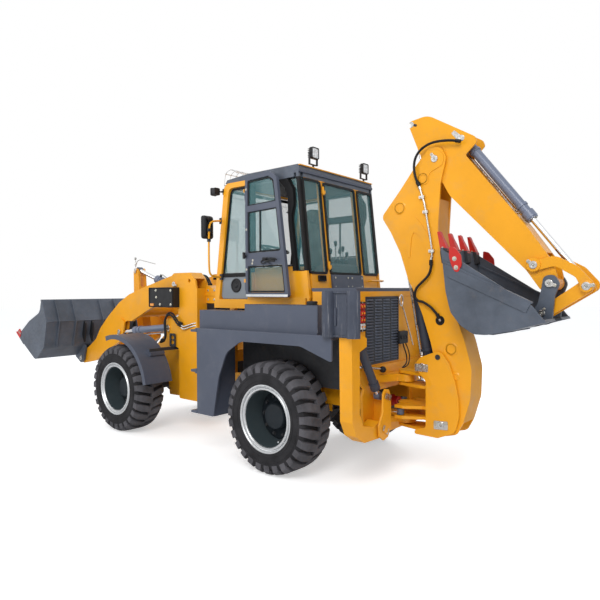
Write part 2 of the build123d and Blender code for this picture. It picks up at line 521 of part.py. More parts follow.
# Dipper: a box that ends in a fin above its pivot
dipper_outline = [(-1150, 3610), (-1370, 3640), (-1850, 3345), (-1872, 3290), (-1758, 3186), (-2316, 2468),
                  (-2546, 2135), (-2575, 2010),
                  (-2530, 1900), (-2440, 1900), (-2319, 2076), (-1605, 2817), (-1470, 3060), (-1330, 3160)]
dipper_r = [40, 200, 50, 30, 20, 200, 60, 60, 40, 50, 200, 200, 90, 150]
DIP_INNER = DIPPER_HALF - DIPPER_T
dipper = both(slab(dipper_outline, DIP_INNER, DIPPER_HALF, dipper_r))
lower_strip = [(-1640, 2852), (-2319, 2140), (-2319, 2080), (-1612, 2812)]
dipper += slab(lower_strip, -DIP_INNER, DIP_INNER)
upper_strip = [(-1740, 3163), (-2316, 2468), (-2480, 2231), (-2464, 2221), (-2302, 2456), (-1726, 3151)]
dipper += slab(upper_strip, -DIP_INNER, DIP_INNER)
dipper += pin_y(DIPPER_PIN, 80, -DIPPER_HALF, DIPPER_HALF)
dipper -= pin_y(DIPPER_PIN, PIN_R + PIN_GAP, -DIPPER_HALF - 1, DIPPER_HALF + 1)
dipper += both(pin_y(DIPPER_RAM_EYE, 30, 42, DIPPER_HALF))
dipper += pin_y(GUIDE_PIN, PIN_R, -DIPPER_HALF - 40, DIPPER_HALF + 40)
dipper += pin_y(HOE_PIN, 60, -DIPPER_HALF, DIPPER_HALF)
dipper -= pin_y(HOE_PIN, PIN_R + PIN_GAP, -DIPPER_HALF - 1, DIPPER_HALF + 1)
nodes["dipper"] = dipper + both(pin_y(HOE_RAM_FOOT, 48, 54, DIP_INNER)) + pin_y(HOE_RAM_FOOT, PIN_R, -60, 60)

# Guide links, bucket link and the backhoe bucket
guide = slab([(-2345, 2175), (-2335, 2090), (-2420, 2075), (-2560, 2110), (-2720, 2010), (-2775, 1890),
              (-2850, 1895), (-2850, 1970), (-2740, 2100), (-2560, 2200), (-2440, 2170)],
             DIPPER_HALF + 8, DIPPER_HALF + 28, [40, 40, 40, 90, 60, 30, 40, 40, 120, 120, 60])
guide -= pin_y(GUIDE_PIN, PIN_R + PIN_GAP, DIPPER_HALF + 7, DIPPER_HALF + 29)
guides = both(guide) + pin_y(GUIDE_END, PIN_R, -DIPPER_HALF - 28, DIPPER_HALF + 28)
nodes["guide_links"] = guides
LINK_Y = (62, 92)
bucket_link = slab([(-2830, 1975), (-2750, 1975), (-2420, 1735), (-2430, 1665), (-2500, 1675), (-2840, 1895)],
                   *LINK_Y, 32)
bucket_link -= pin_y(GUIDE_END, PIN_R + PIN_GAP, LINK_Y[0] - 1, LINK_Y[1] + 1)
bucket_link = both(bucket_link) + block(-2640, -2600, -LINK_Y[0], LINK_Y[0], 1795, 1850)
nodes["bucket_link"] = bucket_link
hoe_out = [(-1646, 2290), (-1669, 2121), (-1693, 1897), (-1740, 1706), (-1834, 1590), (-1954, 1515), (-2071, 1513),
           (-2250, 1550), (-2560, 1640)]
hoe_in = [(-2548, 1663), (-2245, 1574), (-2074, 1537), (-1962, 1539), (-1851, 1608), (-1763, 1716), (-1717, 1900),
          (-1692, 2121), (-1669, 2290)]
hoe_r = [0, 300, 300, 120, 120, 100, 300, 300, 0]
hoe = slab(hoe_out + hoe_in, -HOE_HALF, HOE_HALF, hoe_r + hoe_r[::-1])
# the bucket link swings through this notch
hoe -= block(-2620, -2450, -LINK_Y[1] - 10, LINK_Y[1] + 10, 1560, 1720)
hoe_side = hoe_out + [(-2450, 1775)]
hoe += both(slab(hoe_side, HOE_HALF - 18, HOE_HALF, hoe_r + [20]))
for y in (-345, -115, 115, 345):
    hoe += slab([(-1640, 2230), (-1600, 2450), (-1622, 2450), (-1700, 2260)], y - 32, y + 32)
EAR_Y = (DIPPER_HALF + 8, DIPPER_HALF + 38)
hoe_ear = slab([(-2470, 2030), (-2560, 2035), (-2600, 1960), (-2560, 1850), (-2540, 1640), (-2400, 1580),
                (-2330, 1640), (-2420, 1780), (-2450, 1900)], *EAR_Y, [50, 50, 60, 60, 30, 60, 20, 60, 60])
hoe += both(hoe_ear) + pin_y(HOE_PIN, PIN_R, -EAR_Y[1] - 8, EAR_Y[1] + 8)
hoe += both(pin_y(HOE_EAR, 28, LINK_Y[1] + 2, EAR_Y[1] + 8))
nodes["backhoe_bucket"] = hoe

# Rams of the backhoe
for name, base, eye, size in (
        ("boom_ram", BOOM_RAM_FOOT, BOOM_RAM_EYE,
         dict(barrel_r=54, rod_r=32, barrel_end=1420, rod_in=130, deepest=0, base_r=58, eye_r=50, half=40,
              base_pin_r=PIN_R)),
        ("dipper_ram", DIPPER_RAM_FOOT, DIPPER_RAM_EYE,
         dict(barrel_r=44, rod_r=26, barrel_end=1400, rod_in=820, deepest=680, base_r=50, eye_r=48, half=38,
              base_pin_r=PIN_R)),
        ("bucket_ram", HOE_RAM_FOOT, GUIDE_END,
         dict(barrel_r=45, rod_r=26, barrel_end=1010, rod_in=760, deepest=620, base_r=50, eye_r=48, half=38,
              base_pin_r=PIN_R))):
    barrel, rod = ram((base[0], 0, base[1]), (eye[0], 0, eye[1]), (0, 1, 0), **size)
    if name == "bucket_ram":
        rod -= pin_y(GUIDE_END, PIN_R + 45, -45, 45)
    nodes[name + "_barrel"] = barrel
    nodes[name + "_rod"] = rod

# Stabilisers: a bent box leg, a foot pad and a ram, on each side
for label, side in (("left", 1), ("right", -1)):
    leg_outline = [(side * y, z) for y, z in
                   ((440, 510), (520, 470), (800, 480), (930, 560), (1000, 700), (1010, 1500), (1015, 1720),
                    (960, 1725), (940, 1600), (880, 1500), (880, 760), (820, 640), (640, 600), (520, 640))]
    leg = cross(leg_outline, *LEG_X, 25)
    leg -= pin_x((side * LEG_PIN[0], LEG_PIN[1]), PIN_R + PIN_GAP, LEG_X[0] - 1, LEG_X[1] + 1)
    leg += pin_x((side * PAD_PIN[0], PAD_PIN[1]), SMALL_PIN_R, LEG_X[0] - 60, LEG_X[1] + 60)
    for x0, x1 in ((LEG_X[0], LEG_X[0] + 18), (LEG_X[1] - 18, LEG_X[1])):
        lug_outline = [(side * y, z) for y, z in ((760, 1380), (900, 1330), (900, 1520), (760, 1460))]
        leg += cross(lug_outline, x0, x1)
    leg += pin_x((side * LEG_RAM_TOP[0], LEG_RAM_TOP[1]), SMALL_PIN_R, LEG_X[0], LEG_X[1])
    nodes["stabiliser_leg_" + label] = leg
    centre_x = sum(LEG_X) / 2
    pad = block(centre_x - 220, centre_x + 220, *sorted((side * 1045, side * 1060)), 1470, 1910)
    for x in (centre_x - 185, centre_x + 185):
        pad += bar((x, side * 1070, 1470), (x, side * 1070, 1910), 38)
    pad -= block(centre_x - 240, centre_x + 240, *sorted((side * 980, side * 1045)), 1400, 2000)
    for x0, x1 in ((LEG_X[0] - 30, LEG_X[0] - 8), (LEG_X[1] + 8, LEG_X[1] + 30)):
        lug_outline = [(side * y, z) for y, z in ((950, 1640), (950, 1700), (1050, 1730), (1050, 1610))]
        pad += cross(lug_outline, x0, x1)
    pad -= pin_x((side * PAD_PIN[0], PAD_PIN[1]), SMALL_PIN_R + PIN_GAP, LEG_X[0] - 61, LEG_X[1] + 61)
    nodes["stabiliser_pad_" + label] = pad
    barrel, rod = ram((centre_x, side * LEG_RAM_TOP[0], LEG_RAM_TOP[1]),
                      (centre_x, side * LEG_RAM_EYE[0], LEG_RAM_EYE[1]), (1, 0, 0), barrel_r=42, rod_r=24,
                      barrel_end=560, rod_in=80, deepest=0, base_r=34, eye_r=40, half=30,
                      base_pin_r=SMALL_PIN_R)
    nodes["stabiliser_ram_barrel_" + label] = barrel
    nodes["stabiliser_ram_rod_" + label] = rod

# Cab: posts, sills and floor; roof; glass; doors; seat and controls
cab = block(-330, 1130, -CAB_HALF, CAB_HALF, CAB_FLOOR, CAB_FLOOR + 40)
for y0, y1 in ((CAB_HALF - POST, CAB_HALF), (-CAB_HALF, -CAB_HALF + POST)):
    cab += slab([(1060, 1750), (1130, 1750), (1114, 1850), (945, 3120), (900, 3170), (560, 3170), (560, 3110),
                 (860, 3110), (1040, 1830)], y0, y1, [0, 0, 20, 60, 60, 0, 0, 60, 20])
    cab += block(560, 1080, y0, y1, CAB_FLOOR + 40, 1815)
    cab += slab([(490, 1750), (560, 1750), (560, 3170), (490, 3170)], y0, y1)
    cab += slab([(-140, 3110), (500, 3110), (500, 3170), (-140, 3170)], y0, y1)
    cab += block(-290, 560, y0, y1, CAB_FLOOR + 40, 1840)
CORNER_Y = (CAB_HALF - 30, CAB_HALF)
cab += both(slab([(-350, 1750), (-316, 1750), (-166, 3170), (-200, 3170)], *CORNER_Y))
cab += both(slab([(-345, 1830), (-195, 1830), (-160, 2115), (-306, 2115)], CAB_HALF - 40, CAB_HALF))
for y in (-350, 310):
    cab += slab([(-350, 1750), (-300, 1750), (-150, 3170), (-200, 3170)], y, y + 45)
cab += slab([(-350, 1750), (-310, 1750), (-275, 2090), (-315, 2090)], -CAB_HALF + POST, CAB_HALF - POST)
cab += slab([(-215, 3100), (-175, 3100), (-165, 3170), (-205, 3170)], -CAB_HALF + POST, CAB_HALF - POST)
cab += slab([(1060, 1750), (1130, 1750), (1100, 1950), (1055, 1950)], -CAB_HALF + POST, CAB_HALF - POST)
cab += slab([(880, 3120), (940, 3120), (900, 3170), (860, 3170)], -CAB_HALF + POST, CAB_HALF - POST)
nodes["cab_roof"] = slab([(-215, 3170), (920, 3170), (890, 3210), (540, 3238), (-200, 3238)],
                         -CAB_HALF, CAB_HALF)

panes = slab([(1085, 1955), (1093, 1955), (933, 3115), (925, 3115)], -CAB_HALF + POST, CAB_HALF - POST)
for y0, y1 in ((-CORNER_Y[0] + 14, -350), (-305, 310), (355, CORNER_Y[0] - 14)):
    panes += slab([(-312, 2095), (-304, 2095), (-204, 3095), (-212, 3095)], y0, y1)
for side in (1, -1):
    ys = sorted((side * (CAB_HALF - 40), side * (CAB_HALF - 40 + GLASS_T)))
    panes += slab([(565, 1815), (1000, 1815), (1024, 1852), (850, 3093), (826, 3103), (565, 3103)], *ys)
    panes += slab([(-272, 2122), (-176, 2122), (-108, 2690), (-143, 2825), (-134, 2985), (-55, 3103),
                   (-169, 3103)], *ys)
nodes["cab_glass"] = panes
# the frame behind the door's rear edge is wide at the top
cab += both(slab([(-205, 1830), (-155, 1830), (-58, 2650), (-52, 2900), (-10, 3010), (90, 3115), (-40, 3115),
                  (-125, 2980), (-135, 2830), (-100, 2700)], CAB_HALF - POST, CAB_HALF))

DOOR_HINGE = (556, CAB_HALF + 25)
DOOR_AJAR = 7
DOOR_Y = (CAB_HALF + PANEL_GAP, CAB_HALF + PANEL_GAP + 36)
door_outline = [(545, 1840), (545, 3190), (120, 3190), (5, 3110), (-180, 1840)]
door = slab(door_outline, *DOOR_Y, [30, 30, 120, 60, 30])
door -= slab([(505, 2330), (505, 3145), (130, 3145), (52, 3090), (-62, 2330)], DOOR_Y[0] - 1, DOOR_Y[1] + 1, 30)
door -= slab([(505, 1890), (505, 2190), (-83, 2190), (-128, 1890)], DOOR_Y[0] - 1, DOOR_Y[1] + 1, 20)
middle = (DOOR_Y[0] + DOOR_Y[1]) / 2
door += slab([(508, 2327), (508, 3148), (128, 3148), (49, 3093), (-66, 2327)], middle - 4, middle + 4, 30)
door += slab([(508, 1887), (508, 2193), (-86, 2193), (-132, 1887)], middle - 4, middle + 4, 20)
KNUCKLE_R = 14
for z in (1960, 2980):
    door -= pin_z(*DOOR_HINGE, KNUCKLE_R + 8, z + 45, z + 90)
    door += pin_z(*DOOR_HINGE, KNUCKLE_R, z - 45, z + 45)
    knuckle = pin_z(*DOOR_HINGE, KNUCKLE_R, z + 45.3, z + 85)
    cab += both(knuckle + block(DOOR_HINGE[0], DOOR_HINGE[0] + 34, CAB_HALF - 5, DOOR_HINGE[1], z + 46, z + 84))
nodes["cab_frame"] = cab
hinge_axis = Axis((DOOR_HINGE[0], DOOR_HINGE[1], 0), (0, 0, 1))
nodes["door_left"] = door.rotate(hinge_axis, -DOOR_AJAR)
nodes["door_right"] = other(door)

seat = block(120, 560, -240, 240, 2110, 2220) + block(70, 190, -240, 240, 2150, 2850)
seat += block(200, 480, -150, 150, CAB_FLOOR + 40, 2110)
nodes["seat"] = seat
console = block(860, 1040, -250, 250, CAB_FLOOR + 40, 2150) + bar((900, 0, 2100), (796, 0, 2438), 28)
wheel_plane = Plane(origin=(795, 0, 2436), z_dir=(-0.3, 0, 0.95))
console += wheel_plane * (Cylinder(200, 26) - Cylinder(174, 30) + Box(360, 30, 20))
nodes["steering_console"] = console

# Rear hood, louvre panel, mudguards and tank
hood = slab([(-905, 1905), (-352, 1905), (-349, 1935), (-905, 1935)], -680, 680)
hood += block(-905, -880, -680, 680, 1140, 1905) - block(-950, -870, -520, 520, 1160, 1845)
hood += both(block(-880, -360, 660, 680, 1460, 1905))
nodes["rear_hood"] = hood
nodes["rear_louvre"] = block(-903, -885, -520, 520, 1160, 1845)
tail_lamps = both(block(-925, -905, 550, 670, 1510, 1790))

arch = [(-870, 1480), (1090, 1480), (1090, 1440), (1060, 1440), (1060, 500), (780, 500), (690, 950), (560, 1240),
        (340, 1370), (-490, 1370), (-870, 1240)]
rear_guards = []
for side in (1, -1):
    arch_skin = slab(arch, *sorted((side * 1020, side * 1040)), [20, 20, 0, 0, 20, 20, 200, 200, 200, 200, 20])
    inner_line = [(1090, 1480), (-870, 1480), (-870, 1445), (1090, 1445)]
    guard = arch_skin + slab(inner_line, *sorted((side * 680, side * 1020)))
    guard += block(780, 1060, *sorted((side * 700, side * 1020)), 500, 1445)
    for z in (500, 960):
        guard += block(800, 1095, *sorted((side * 720, side * 1040)), z, z + 40)
    guard += block(-640, 350, *sorted((side * CAB_HALF, side * 960)), 1480, 1765)
    guard += block(350, 1100, *sorted((side * CAB_HALF, side * 960)), 1480, 1690)
    rear_guards.append(guard)
nodes["rear_mudguards"] = rear_guards[0] + rear_guards[1]
work_lamps = block(-175, -120, 360, 470, 3238, 3340) + block(-175, -120, -640, -530, 3238, 3340)
front_lamp = block(1000, 1065, CAB_HALF + 12, 810, 3040, 3130)
front_lamp += block(925, 1010, CAB_HALF, CAB_HALF + 30, 3070, 3090)
nodes["lamps"] = both(front_lamp) + work_lamps + tail_lamps
mirror_arm = bar((1055, CAB_HALF, 2150), (1055, 915, 2150), 14) + bar((1055, 890, 2150), (1055, 890, 2950), 11)
nodes["mirrors"] = both(mirror_arm + block(1030, 1050, 830, 970, 2500, 2800))

# The middle of the whole machine, so that x = 0 lies under it
lowest = min(shape.bounding_box().min.X for shape in nodes.values())
highest = max(shape.bounding_box().max.X for shape in nodes.values())
SHIFT_X = -(lowest + highest) / 2

os.makedirs("parts", exist_ok=True)
for name, shape in nodes.items():
    export_step(Pos(SHIFT_X, 0, 0) * shape, os.path.join("parts", name + ".step"))
print("shift", SHIFT_X, "nodes", len(nodes))
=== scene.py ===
import json
import math

import bmesh
import bpy
import numpy as np
from mathutils import Matrix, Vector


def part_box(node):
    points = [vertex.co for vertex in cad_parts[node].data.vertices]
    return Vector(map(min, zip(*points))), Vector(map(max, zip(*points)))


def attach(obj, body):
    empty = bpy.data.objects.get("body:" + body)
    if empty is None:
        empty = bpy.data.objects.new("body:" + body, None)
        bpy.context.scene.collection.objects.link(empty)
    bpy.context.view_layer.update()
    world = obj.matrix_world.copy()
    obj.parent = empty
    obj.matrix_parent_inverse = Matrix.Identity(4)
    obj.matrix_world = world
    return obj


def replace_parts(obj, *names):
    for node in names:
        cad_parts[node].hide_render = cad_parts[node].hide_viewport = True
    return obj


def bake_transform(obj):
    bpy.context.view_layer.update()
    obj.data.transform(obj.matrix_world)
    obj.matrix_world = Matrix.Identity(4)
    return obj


bl_info = {
    "name": "Backhoe Loader",
    "version": (1, 0, 0),
    "blender": (4, 5, 0),
    "location": "View3D > Sidebar > Backhoe",
    "description": "Dresses the solids of a backhoe loader with tyres, hoses, lamps, panels and paint",
    "category": "Object",
}

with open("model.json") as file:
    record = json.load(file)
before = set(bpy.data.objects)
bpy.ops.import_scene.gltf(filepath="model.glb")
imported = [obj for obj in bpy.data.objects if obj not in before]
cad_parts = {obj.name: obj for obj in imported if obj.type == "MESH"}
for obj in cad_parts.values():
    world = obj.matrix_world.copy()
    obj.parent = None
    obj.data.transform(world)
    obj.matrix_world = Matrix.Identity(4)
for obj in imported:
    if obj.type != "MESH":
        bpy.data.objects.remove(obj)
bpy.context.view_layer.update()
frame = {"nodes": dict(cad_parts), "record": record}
NODES = frame["nodes"]
BODY_OF = {node: body for body, members in frame["record"]["behaviour"]["bodies"].items() for node in members}

# The solids are modelled with x = 0 at the rear axle. Points below are given the same way, in metres.
REAR_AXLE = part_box("rear_axle")
AXLE_X = (REAR_AXLE[0][0] + REAR_AXLE[1][0]) / 2
TYRE_R = 0.5875
TRACK_HALF = 0.83
WHEELBASE = 2.81


class LoaderPaint(bpy.types.PropertyGroup):
    yellow: bpy.props.FloatVectorProperty(
        name="Bodywork", description="Amber paint of the bodywork, the arms and the boom",
        subtype="COLOR", size=3, min=0, max=1, default=(0.86, 0.37, 0.010))
    grey: bpy.props.FloatVectorProperty(
        name="Mudguards", description="Dark blue grey of the mudguards, tank, steps and pads",
        subtype="COLOR", size=3, min=0, max=1, default=(0.078, 0.090, 0.125))
    bucket: bpy.props.FloatVectorProperty(
        name="Buckets", description="Slate paint of the two buckets",
        subtype="COLOR", size=3, min=0, max=1, default=(0.085, 0.100, 0.128))
    rubber: bpy.props.FloatVectorProperty(
        name="Rubber", description="Tyres, hoses and seals",
        subtype="COLOR", size=3, min=0, max=1, default=(0.032, 0.031, 0.034))
    red: bpy.props.FloatVectorProperty(
        name="Red", description="Teeth, glands and tail lamps",
        subtype="COLOR", size=3, min=0, max=1, default=(0.55, 0.02, 0.015))


class LoaderSizes(bpy.types.PropertyGroup):
    edge: bpy.props.FloatProperty(
        name="Broken edge", description="Width of the bevel on the edges of plates and castings",
        default=0.004, min=0.0005, max=0.02, unit="LENGTH")
    lug_count: bpy.props.IntProperty(
        name="Lugs", description="Lugs on each side of a tyre", default=27, min=8, max=30)
    lug_depth: bpy.props.FloatProperty(
        name="Lug depth", description="Height of the lugs over the carcass",
        default=0.040, min=0.01, max=0.06, unit="LENGTH")
    hose: bpy.props.FloatProperty(
        name="Hose radius", description="Outer radius of the hydraulic hoses",
        default=0.0125, min=0.004, max=0.03, unit="LENGTH")
    pipe: bpy.props.FloatProperty(
        name="Pipe radius", description="Outer radius of the steel pipes",
        default=0.010, min=0.004, max=0.03, unit="LENGTH")


# ---------------------------------------------------------------- materials

def node_tree(name):
    """A new material with its node tree and its shader."""
    material = bpy.data.materials.new(name)
    material.use_nodes = True
    return material, material.node_tree, material.node_tree.nodes["Principled BSDF"]


def preset(node, **values):
    """Sets a node's own sockets; an underscore in a name stands for a space."""
    for name, value in values.items():
        node.inputs[name.replace("_", " ")].default_value = value


def noise(tree, scale, detail=4.0, roughness=0.55, stretch=(1, 1, 1)):
    """Noise on object coordinates, stretched by a mapping; gives its value socket."""
    where = tree.nodes.new("ShaderNodeTexCoord")
    turn = tree.nodes.new("ShaderNodeMapping")
    grain = tree.nodes.new("ShaderNodeTexNoise")
    preset(turn, Scale=stretch)
    preset(grain, Scale=scale, Detail=detail, Roughness=roughness)
    tree.links.new(where.outputs["Object"], turn.inputs["Vector"])
    tree.links.new(turn.outputs["Vector"], grain.inputs["Vector"])
    return grain.outputs["Fac"]


def ramp(tree, source, low, high, target=None):
    """A colour ramp between two stops, each a place and a colour, led to the target socket if there is one."""
    node = tree.nodes.new("ShaderNodeValToRGB")
    for element, (position, colour) in zip(node.color_ramp.elements, (low, high)):
        element.position, element.color = position, (*colour, 1)
    tree.links.new(source, node.inputs["Fac"])
    if target:
        tree.links.new(node.outputs["Color"], target)
    return node.outputs["Color"]


def mix(tree, factor, first, second, target):
    """Mixes a socket's colour with a fixed one, by a socket's factor, and leads it to the target socket."""
    node = tree.nodes.new("ShaderNodeMix")
    node.data_type = "RGBA"
    tree.links.new(factor, node.inputs[0])
    tree.links.new(first, node.inputs[6])
    node.inputs[7].default_value = (*second, 1)
    tree.links.new(node.outputs[2], target)


def bump(tree, shader, source, strength, distance):
    """Relief from a height socket."""
    node = tree.nodes.new("ShaderNodeBump")
    preset(node, Strength=strength, Distance=distance)
    tree.links.new(source, node.inputs["Height"])
    tree.links.new(node.outputs["Normal"], shader.inputs["Normal"])


def scaled(colour, factor):
    """A colour made lighter or darker, at most white."""
    return tuple(min(1.0, c * factor) for c in colour)


def paint(name, colour, gloss=0.32, dust=0.35, coat=0.12, dust_colour=(0.33, 0.27, 0.2)):
    """Sprayed paint: slow changes of tone, a film of dust in patches and a fine orange peel."""
    material, tree, shader = node_tree(name)
    tone = ramp(tree, noise(tree, 1.7, 5), (0.3, scaled(colour, 0.90)), (0.7, scaled(colour, 1.05)))
    film = ramp(tree, noise(tree, 6.0, 9, 0.68), (0.52, (0, 0, 0)), (0.78, (dust * 0.5,) * 3))
    mix(tree, film, tone, dust_colour, shader.inputs["Base Color"])
    ramp(tree, noise(tree, 9.0, 6), (0.3, (gloss,) * 3), (0.75, (gloss + 0.16,) * 3), shader.inputs["Roughness"])
    preset(shader, Specular_IOR_Level=0.28, Coat_Weight=coat, Coat_Roughness=0.12)
    bump(tree, shader, noise(tree, 140.0, 2), 0.06, 0.002)
    return material


def worn_steel(name, colour, rust=(0.16, 0.075, 0.035), amount=0.5, rough=0.45, stretch=(1, 1, 1)):
    """Working steel: scratched, with rust and earth in patches, or in streaks where the noise is stretched."""
    material, tree, shader = node_tree(name)
    tone = ramp(tree, noise(tree, 3.0, 8, 0.65), (0.32, scaled(colour, 0.75)), (0.68, scaled(colour, 1.25)))
    spots = noise(tree, 13.0, 9, 0.7, stretch)
    mask = ramp(tree, spots, (0.56, (0, 0, 0)), (0.74, (amount,) * 3))
    mix(tree, mask, tone, rust, shader.inputs["Base Color"])
    ramp(tree, noise(tree, 30.0, 3, 0.5, (1, 0.15, 1)), (0.3, (rough - 0.08,) * 3), (0.7, (rough + 0.15,) * 3),
         shader.inputs["Roughness"])
    preset(shader, Specular_IOR_Level=0.3)
    bump(tree, shader, spots, 0.12, 0.004)
    return material


def rubber(name, colour, rough, grain, chalk):
    """Black rubber with a chalky bloom and a fine moulded grain."""
    material, tree, shader = node_tree(name)
    ramp(tree, noise(tree, 5.0, 7, 0.6), (0.3, scaled(colour, 0.75)), (0.72, scaled(colour, 1.0 + chalk)),
         shader.inputs["Base Color"])
    preset(shader, Roughness=rough, Specular_IOR_Level=0.2)
    bump(tree, shader, noise(tree, grain, 4), 0.15, 0.002)
    return material


def metal(name, colour, rough, stretch=(1, 1, 1), variation=0.12):
    """Bare or plated metal with fine drawn lines."""
    material, tree, shader = node_tree(name)
    lines = noise(tree, 60.0, 3, 0.5, stretch)
    ramp(tree, lines, (0.3, scaled(colour, 1 - variation)), (0.7, scaled(colour, 1 + variation)),
         shader.inputs["Base Color"])
    preset(shader, Metallic=1.0)
    ramp(tree, lines, (0.3, (rough * 0.7,) * 3), (0.7, (rough * 1.4,) * 3), shader.inputs["Roughness"])
    return material


def glass(name, colour, see_through):
    """Cab glass: a thin clear pane that is tinted and mirrors its surroundings."""
    material, tree, shader = node_tree(name)
    ramp(tree, noise(tree, 4.0, 8, 0.65), (0.3, colour), (0.8, scaled(colour, 0.93)), shader.inputs["Base Color"])
    preset(shader, Roughness=0.03, Alpha=1 - see_through, Specular_IOR_Level=0.7)
    return material


def lens(name, colour):
    """A lamp's ribbed lens."""
    material, tree, shader = node_tree(name)
    ribs = noise(tree, 90.0, 1, 0.5, (0.1, 1, 1))
    ramp(tree, ribs, (0.35, scaled(colour, 0.7)), (0.65, scaled(colour, 1.15)), shader.inputs["Base Color"])
    preset(shader, Roughness=0.15, Coat_Weight=0.8)
    bump(tree, shader, ribs, 0.3, 0.002)
    return material


MATERIALS = {}


def make_materials(colours):
    """Fills the table of materials from the colours of the panel."""
    yellow, grey, black = tuple(colours.yellow), tuple(colours.grey), tuple(colours.rubber)
    MATERIALS.update(
        yellow=paint("amber_paint", yellow),
        # a darker copy of the amber paint: painted shade, on the boom's rear faces and its ring welds
        deep_yellow=paint("amber_paint_painted_shade", scaled(yellow, 0.8), 0.42, 0.6),
        grey=paint("blue_grey_paint", grey, 0.4, 0.35, 0.06, (0.2, 0.2, 0.22)),
        pad=worn_steel("pad_steel", scaled(grey, 0.7), (0.34, 0.34, 0.36), 0.95, 0.4, (5, 5, 0.25)),
        slate=worn_steel("bucket_slate", tuple(colours.bucket), (0.17, 0.14, 0.12), 0.35, 0.38),
        barrel=paint("cylinder_grey", scaled(grey, 1.3), 0.35, 0.4, 0.1, (0.2, 0.2, 0.2)),
        iron=worn_steel("axle_iron", (0.035, 0.036, 0.04), (0.1, 0.07, 0.045), 0.5, 0.6),
        black=paint("black_plastic", (0.014, 0.014, 0.016), 0.45, 0.3, 0.0, (0.12, 0.12, 0.12)),
        seal=rubber("glazing_seal", (0.012, 0.012, 0.013), 0.6, 90.0, 0.2),
        # the carcass is the rubber made darker, painted shade in the grooves between the lugs; the lugs are the
        # rubber made lighter, dust and painted highlight on their tops
        tyre=rubber("tyre_rubber_painted_shade", scaled(black, 0.55), 0.8, 60.0, 0.9),
        lug=rubber("tread_rubber_dust_and_painted_highlight", scaled(black, 2.2), 0.75, 40.0, 0.8),
        ram_dark=paint("ram_slate", scaled(grey, 0.55), 0.35, 0.3, 0.1, (0.1, 0.1, 0.11)),
        ram_pale=paint("ram_pale_grey", scaled(grey, 2.1), 0.3, 0.3, 0.2, (0.25, 0.26, 0.28)),
        rim_wall=paint("rim_wall", (0.045, 0.060, 0.066), 0.3, 0.4, 0.2, (0.08, 0.08, 0.08)),
        hose=rubber("hose_rubber", (0.012, 0.012, 0.013), 0.45, 150.0, 0.3),
        chrome=metal("rod_chrome", (0.74, 0.75, 0.77), 0.14, (0.1, 0.1, 0.1), 0.03),
        silver=metal("rim_silver", (0.62, 0.63, 0.64), 0.35, (1, 1, 1), 0.08),
        steel=metal("pipe_steel", (0.55, 0.54, 0.52), 0.28),
        bolt=metal("bolt_zinc", (0.5, 0.48, 0.42), 0.38),
        red=paint("red_paint", tuple(colours.red), 0.35, 0.25, 0.15),
        red_lens=lens("tail_lamp_red", (0.5, 0.015, 0.01)),
        amber_lens=lens("side_lamp_amber", (0.85, 0.3, 0.02)),
        clear_lens=lens("head_lamp_clear", (0.75, 0.77, 0.78)),
        glass=glass("cab_glass", (0.11, 0.30, 0.315), 0.73),
        cloth=rubber("seat_vinyl", (0.035, 0.035, 0.038), 0.5, 220.0, 0.4),
        film=paint("seat_cover_film", (0.10, 0.11, 0.115), 0.2, 0.9, 0.4, (0.42, 0.44, 0.44)),
        lining=paint("cab_lining", (0.12, 0.125, 0.13), 0.6, 0.3, 0.0, (0.2, 0.2, 0.2)),
        dish=paint("rim_dish", (0.010, 0.015, 0.020), 0.5, 0.4, 0.0, (0.03, 0.03, 0.03)),
        pale=paint("panel_pale_grey", (0.2, 0.225, 0.25), 0.4, 0.3, 0.2, (0.3, 0.3, 0.3)),
        # darker than the louvre's own grey: painted shade between the slots
        louvre=paint("louvre_slate_painted_shade", (0.040, 0.045, 0.056), 0.38, 0.4, 0.1, (0.12, 0.115, 0.11)),
        brass=metal("fitting_brass", (0.7, 0.5, 0.2), 0.3),
        mirror=metal("mirror_silver", (0.8, 0.82, 0.84), 0.04),
    )


# ---------------------------------------------------------------- shapes

def break_edges(obj, name, width, angle):
    """A bevel of two segments on the edges that are sharper than an angle in degrees."""
    bevel = obj.modifiers.new(name, "BEVEL")
    bevel.width = width
    bevel.segments = 2
    bevel.limit_method = "ANGLE"
    bevel.angle_limit = math.radians(angle)
    bevel.harden_normals = True


def add(name, points, faces, material, body, edge=0.0, angle=35):
    """A mesh object from arrays of corners and faces, ridden on a body. A tuple in place of a body is not read, and
    leaves the mesh on no body with its place baked in.
    """
    mesh = bpy.data.meshes.new(name)
    points = np.asarray(points, float).reshape(-1, 3).copy()
    points[:, 0] += AXLE_X
    mesh.from_pydata(points.tolist(), [], [list(map(int, f)) for f in faces])
    work = bmesh.new()
    work.from_mesh(mesh)
    bmesh.ops.remove_doubles(work, verts=work.verts, dist=1e-6)
    bmesh.ops.dissolve_degenerate(work, edges=work.edges, dist=1e-6)
    bmesh.ops.recalc_face_normals(work, faces=work.faces)
    work.to_mesh(mesh)
    work.free()
    obj = bpy.data.objects.new(name, mesh)
    bpy.context.scene.collection.objects.link(obj)
    mesh.materials.append(MATERIALS[material])
    mesh.shade_smooth()
    mesh.set_sharp_from_angle(angle=math.radians(angle))
    if edge:
        break_edges(obj, "edge", edge, angle)
    if isinstance(body, tuple):
        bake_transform(obj)
    else:
        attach(obj, body)
    return obj


def grid_faces(rows, columns, close_rows=False, close_columns=False):
    """Quads between the points of a grid, as one array worked out without a loop."""
    r = np.arange(rows if close_rows else rows - 1)
    c = np.arange(columns if close_columns else columns - 1)
    R, K = np.meshgrid(r, c, indexing="ij")
    R2, K2 = (R + 1) % rows, (K + 1) % columns
    return np.stack([R * columns + K, R2 * columns + K, R2 * columns + K2, R * columns + K2], -1).reshape(-1, 4)


def join(parts):
    """Several (points, faces) meshes as one."""
    points, faces, start = [], [], 0
    for p, f in parts:
        p = np.asarray(p, float).reshape(-1, 3)
        points.append(p)
        faces += [[i + start for i in face] for face in f]
        start += len(p)
    return np.concatenate(points), faces


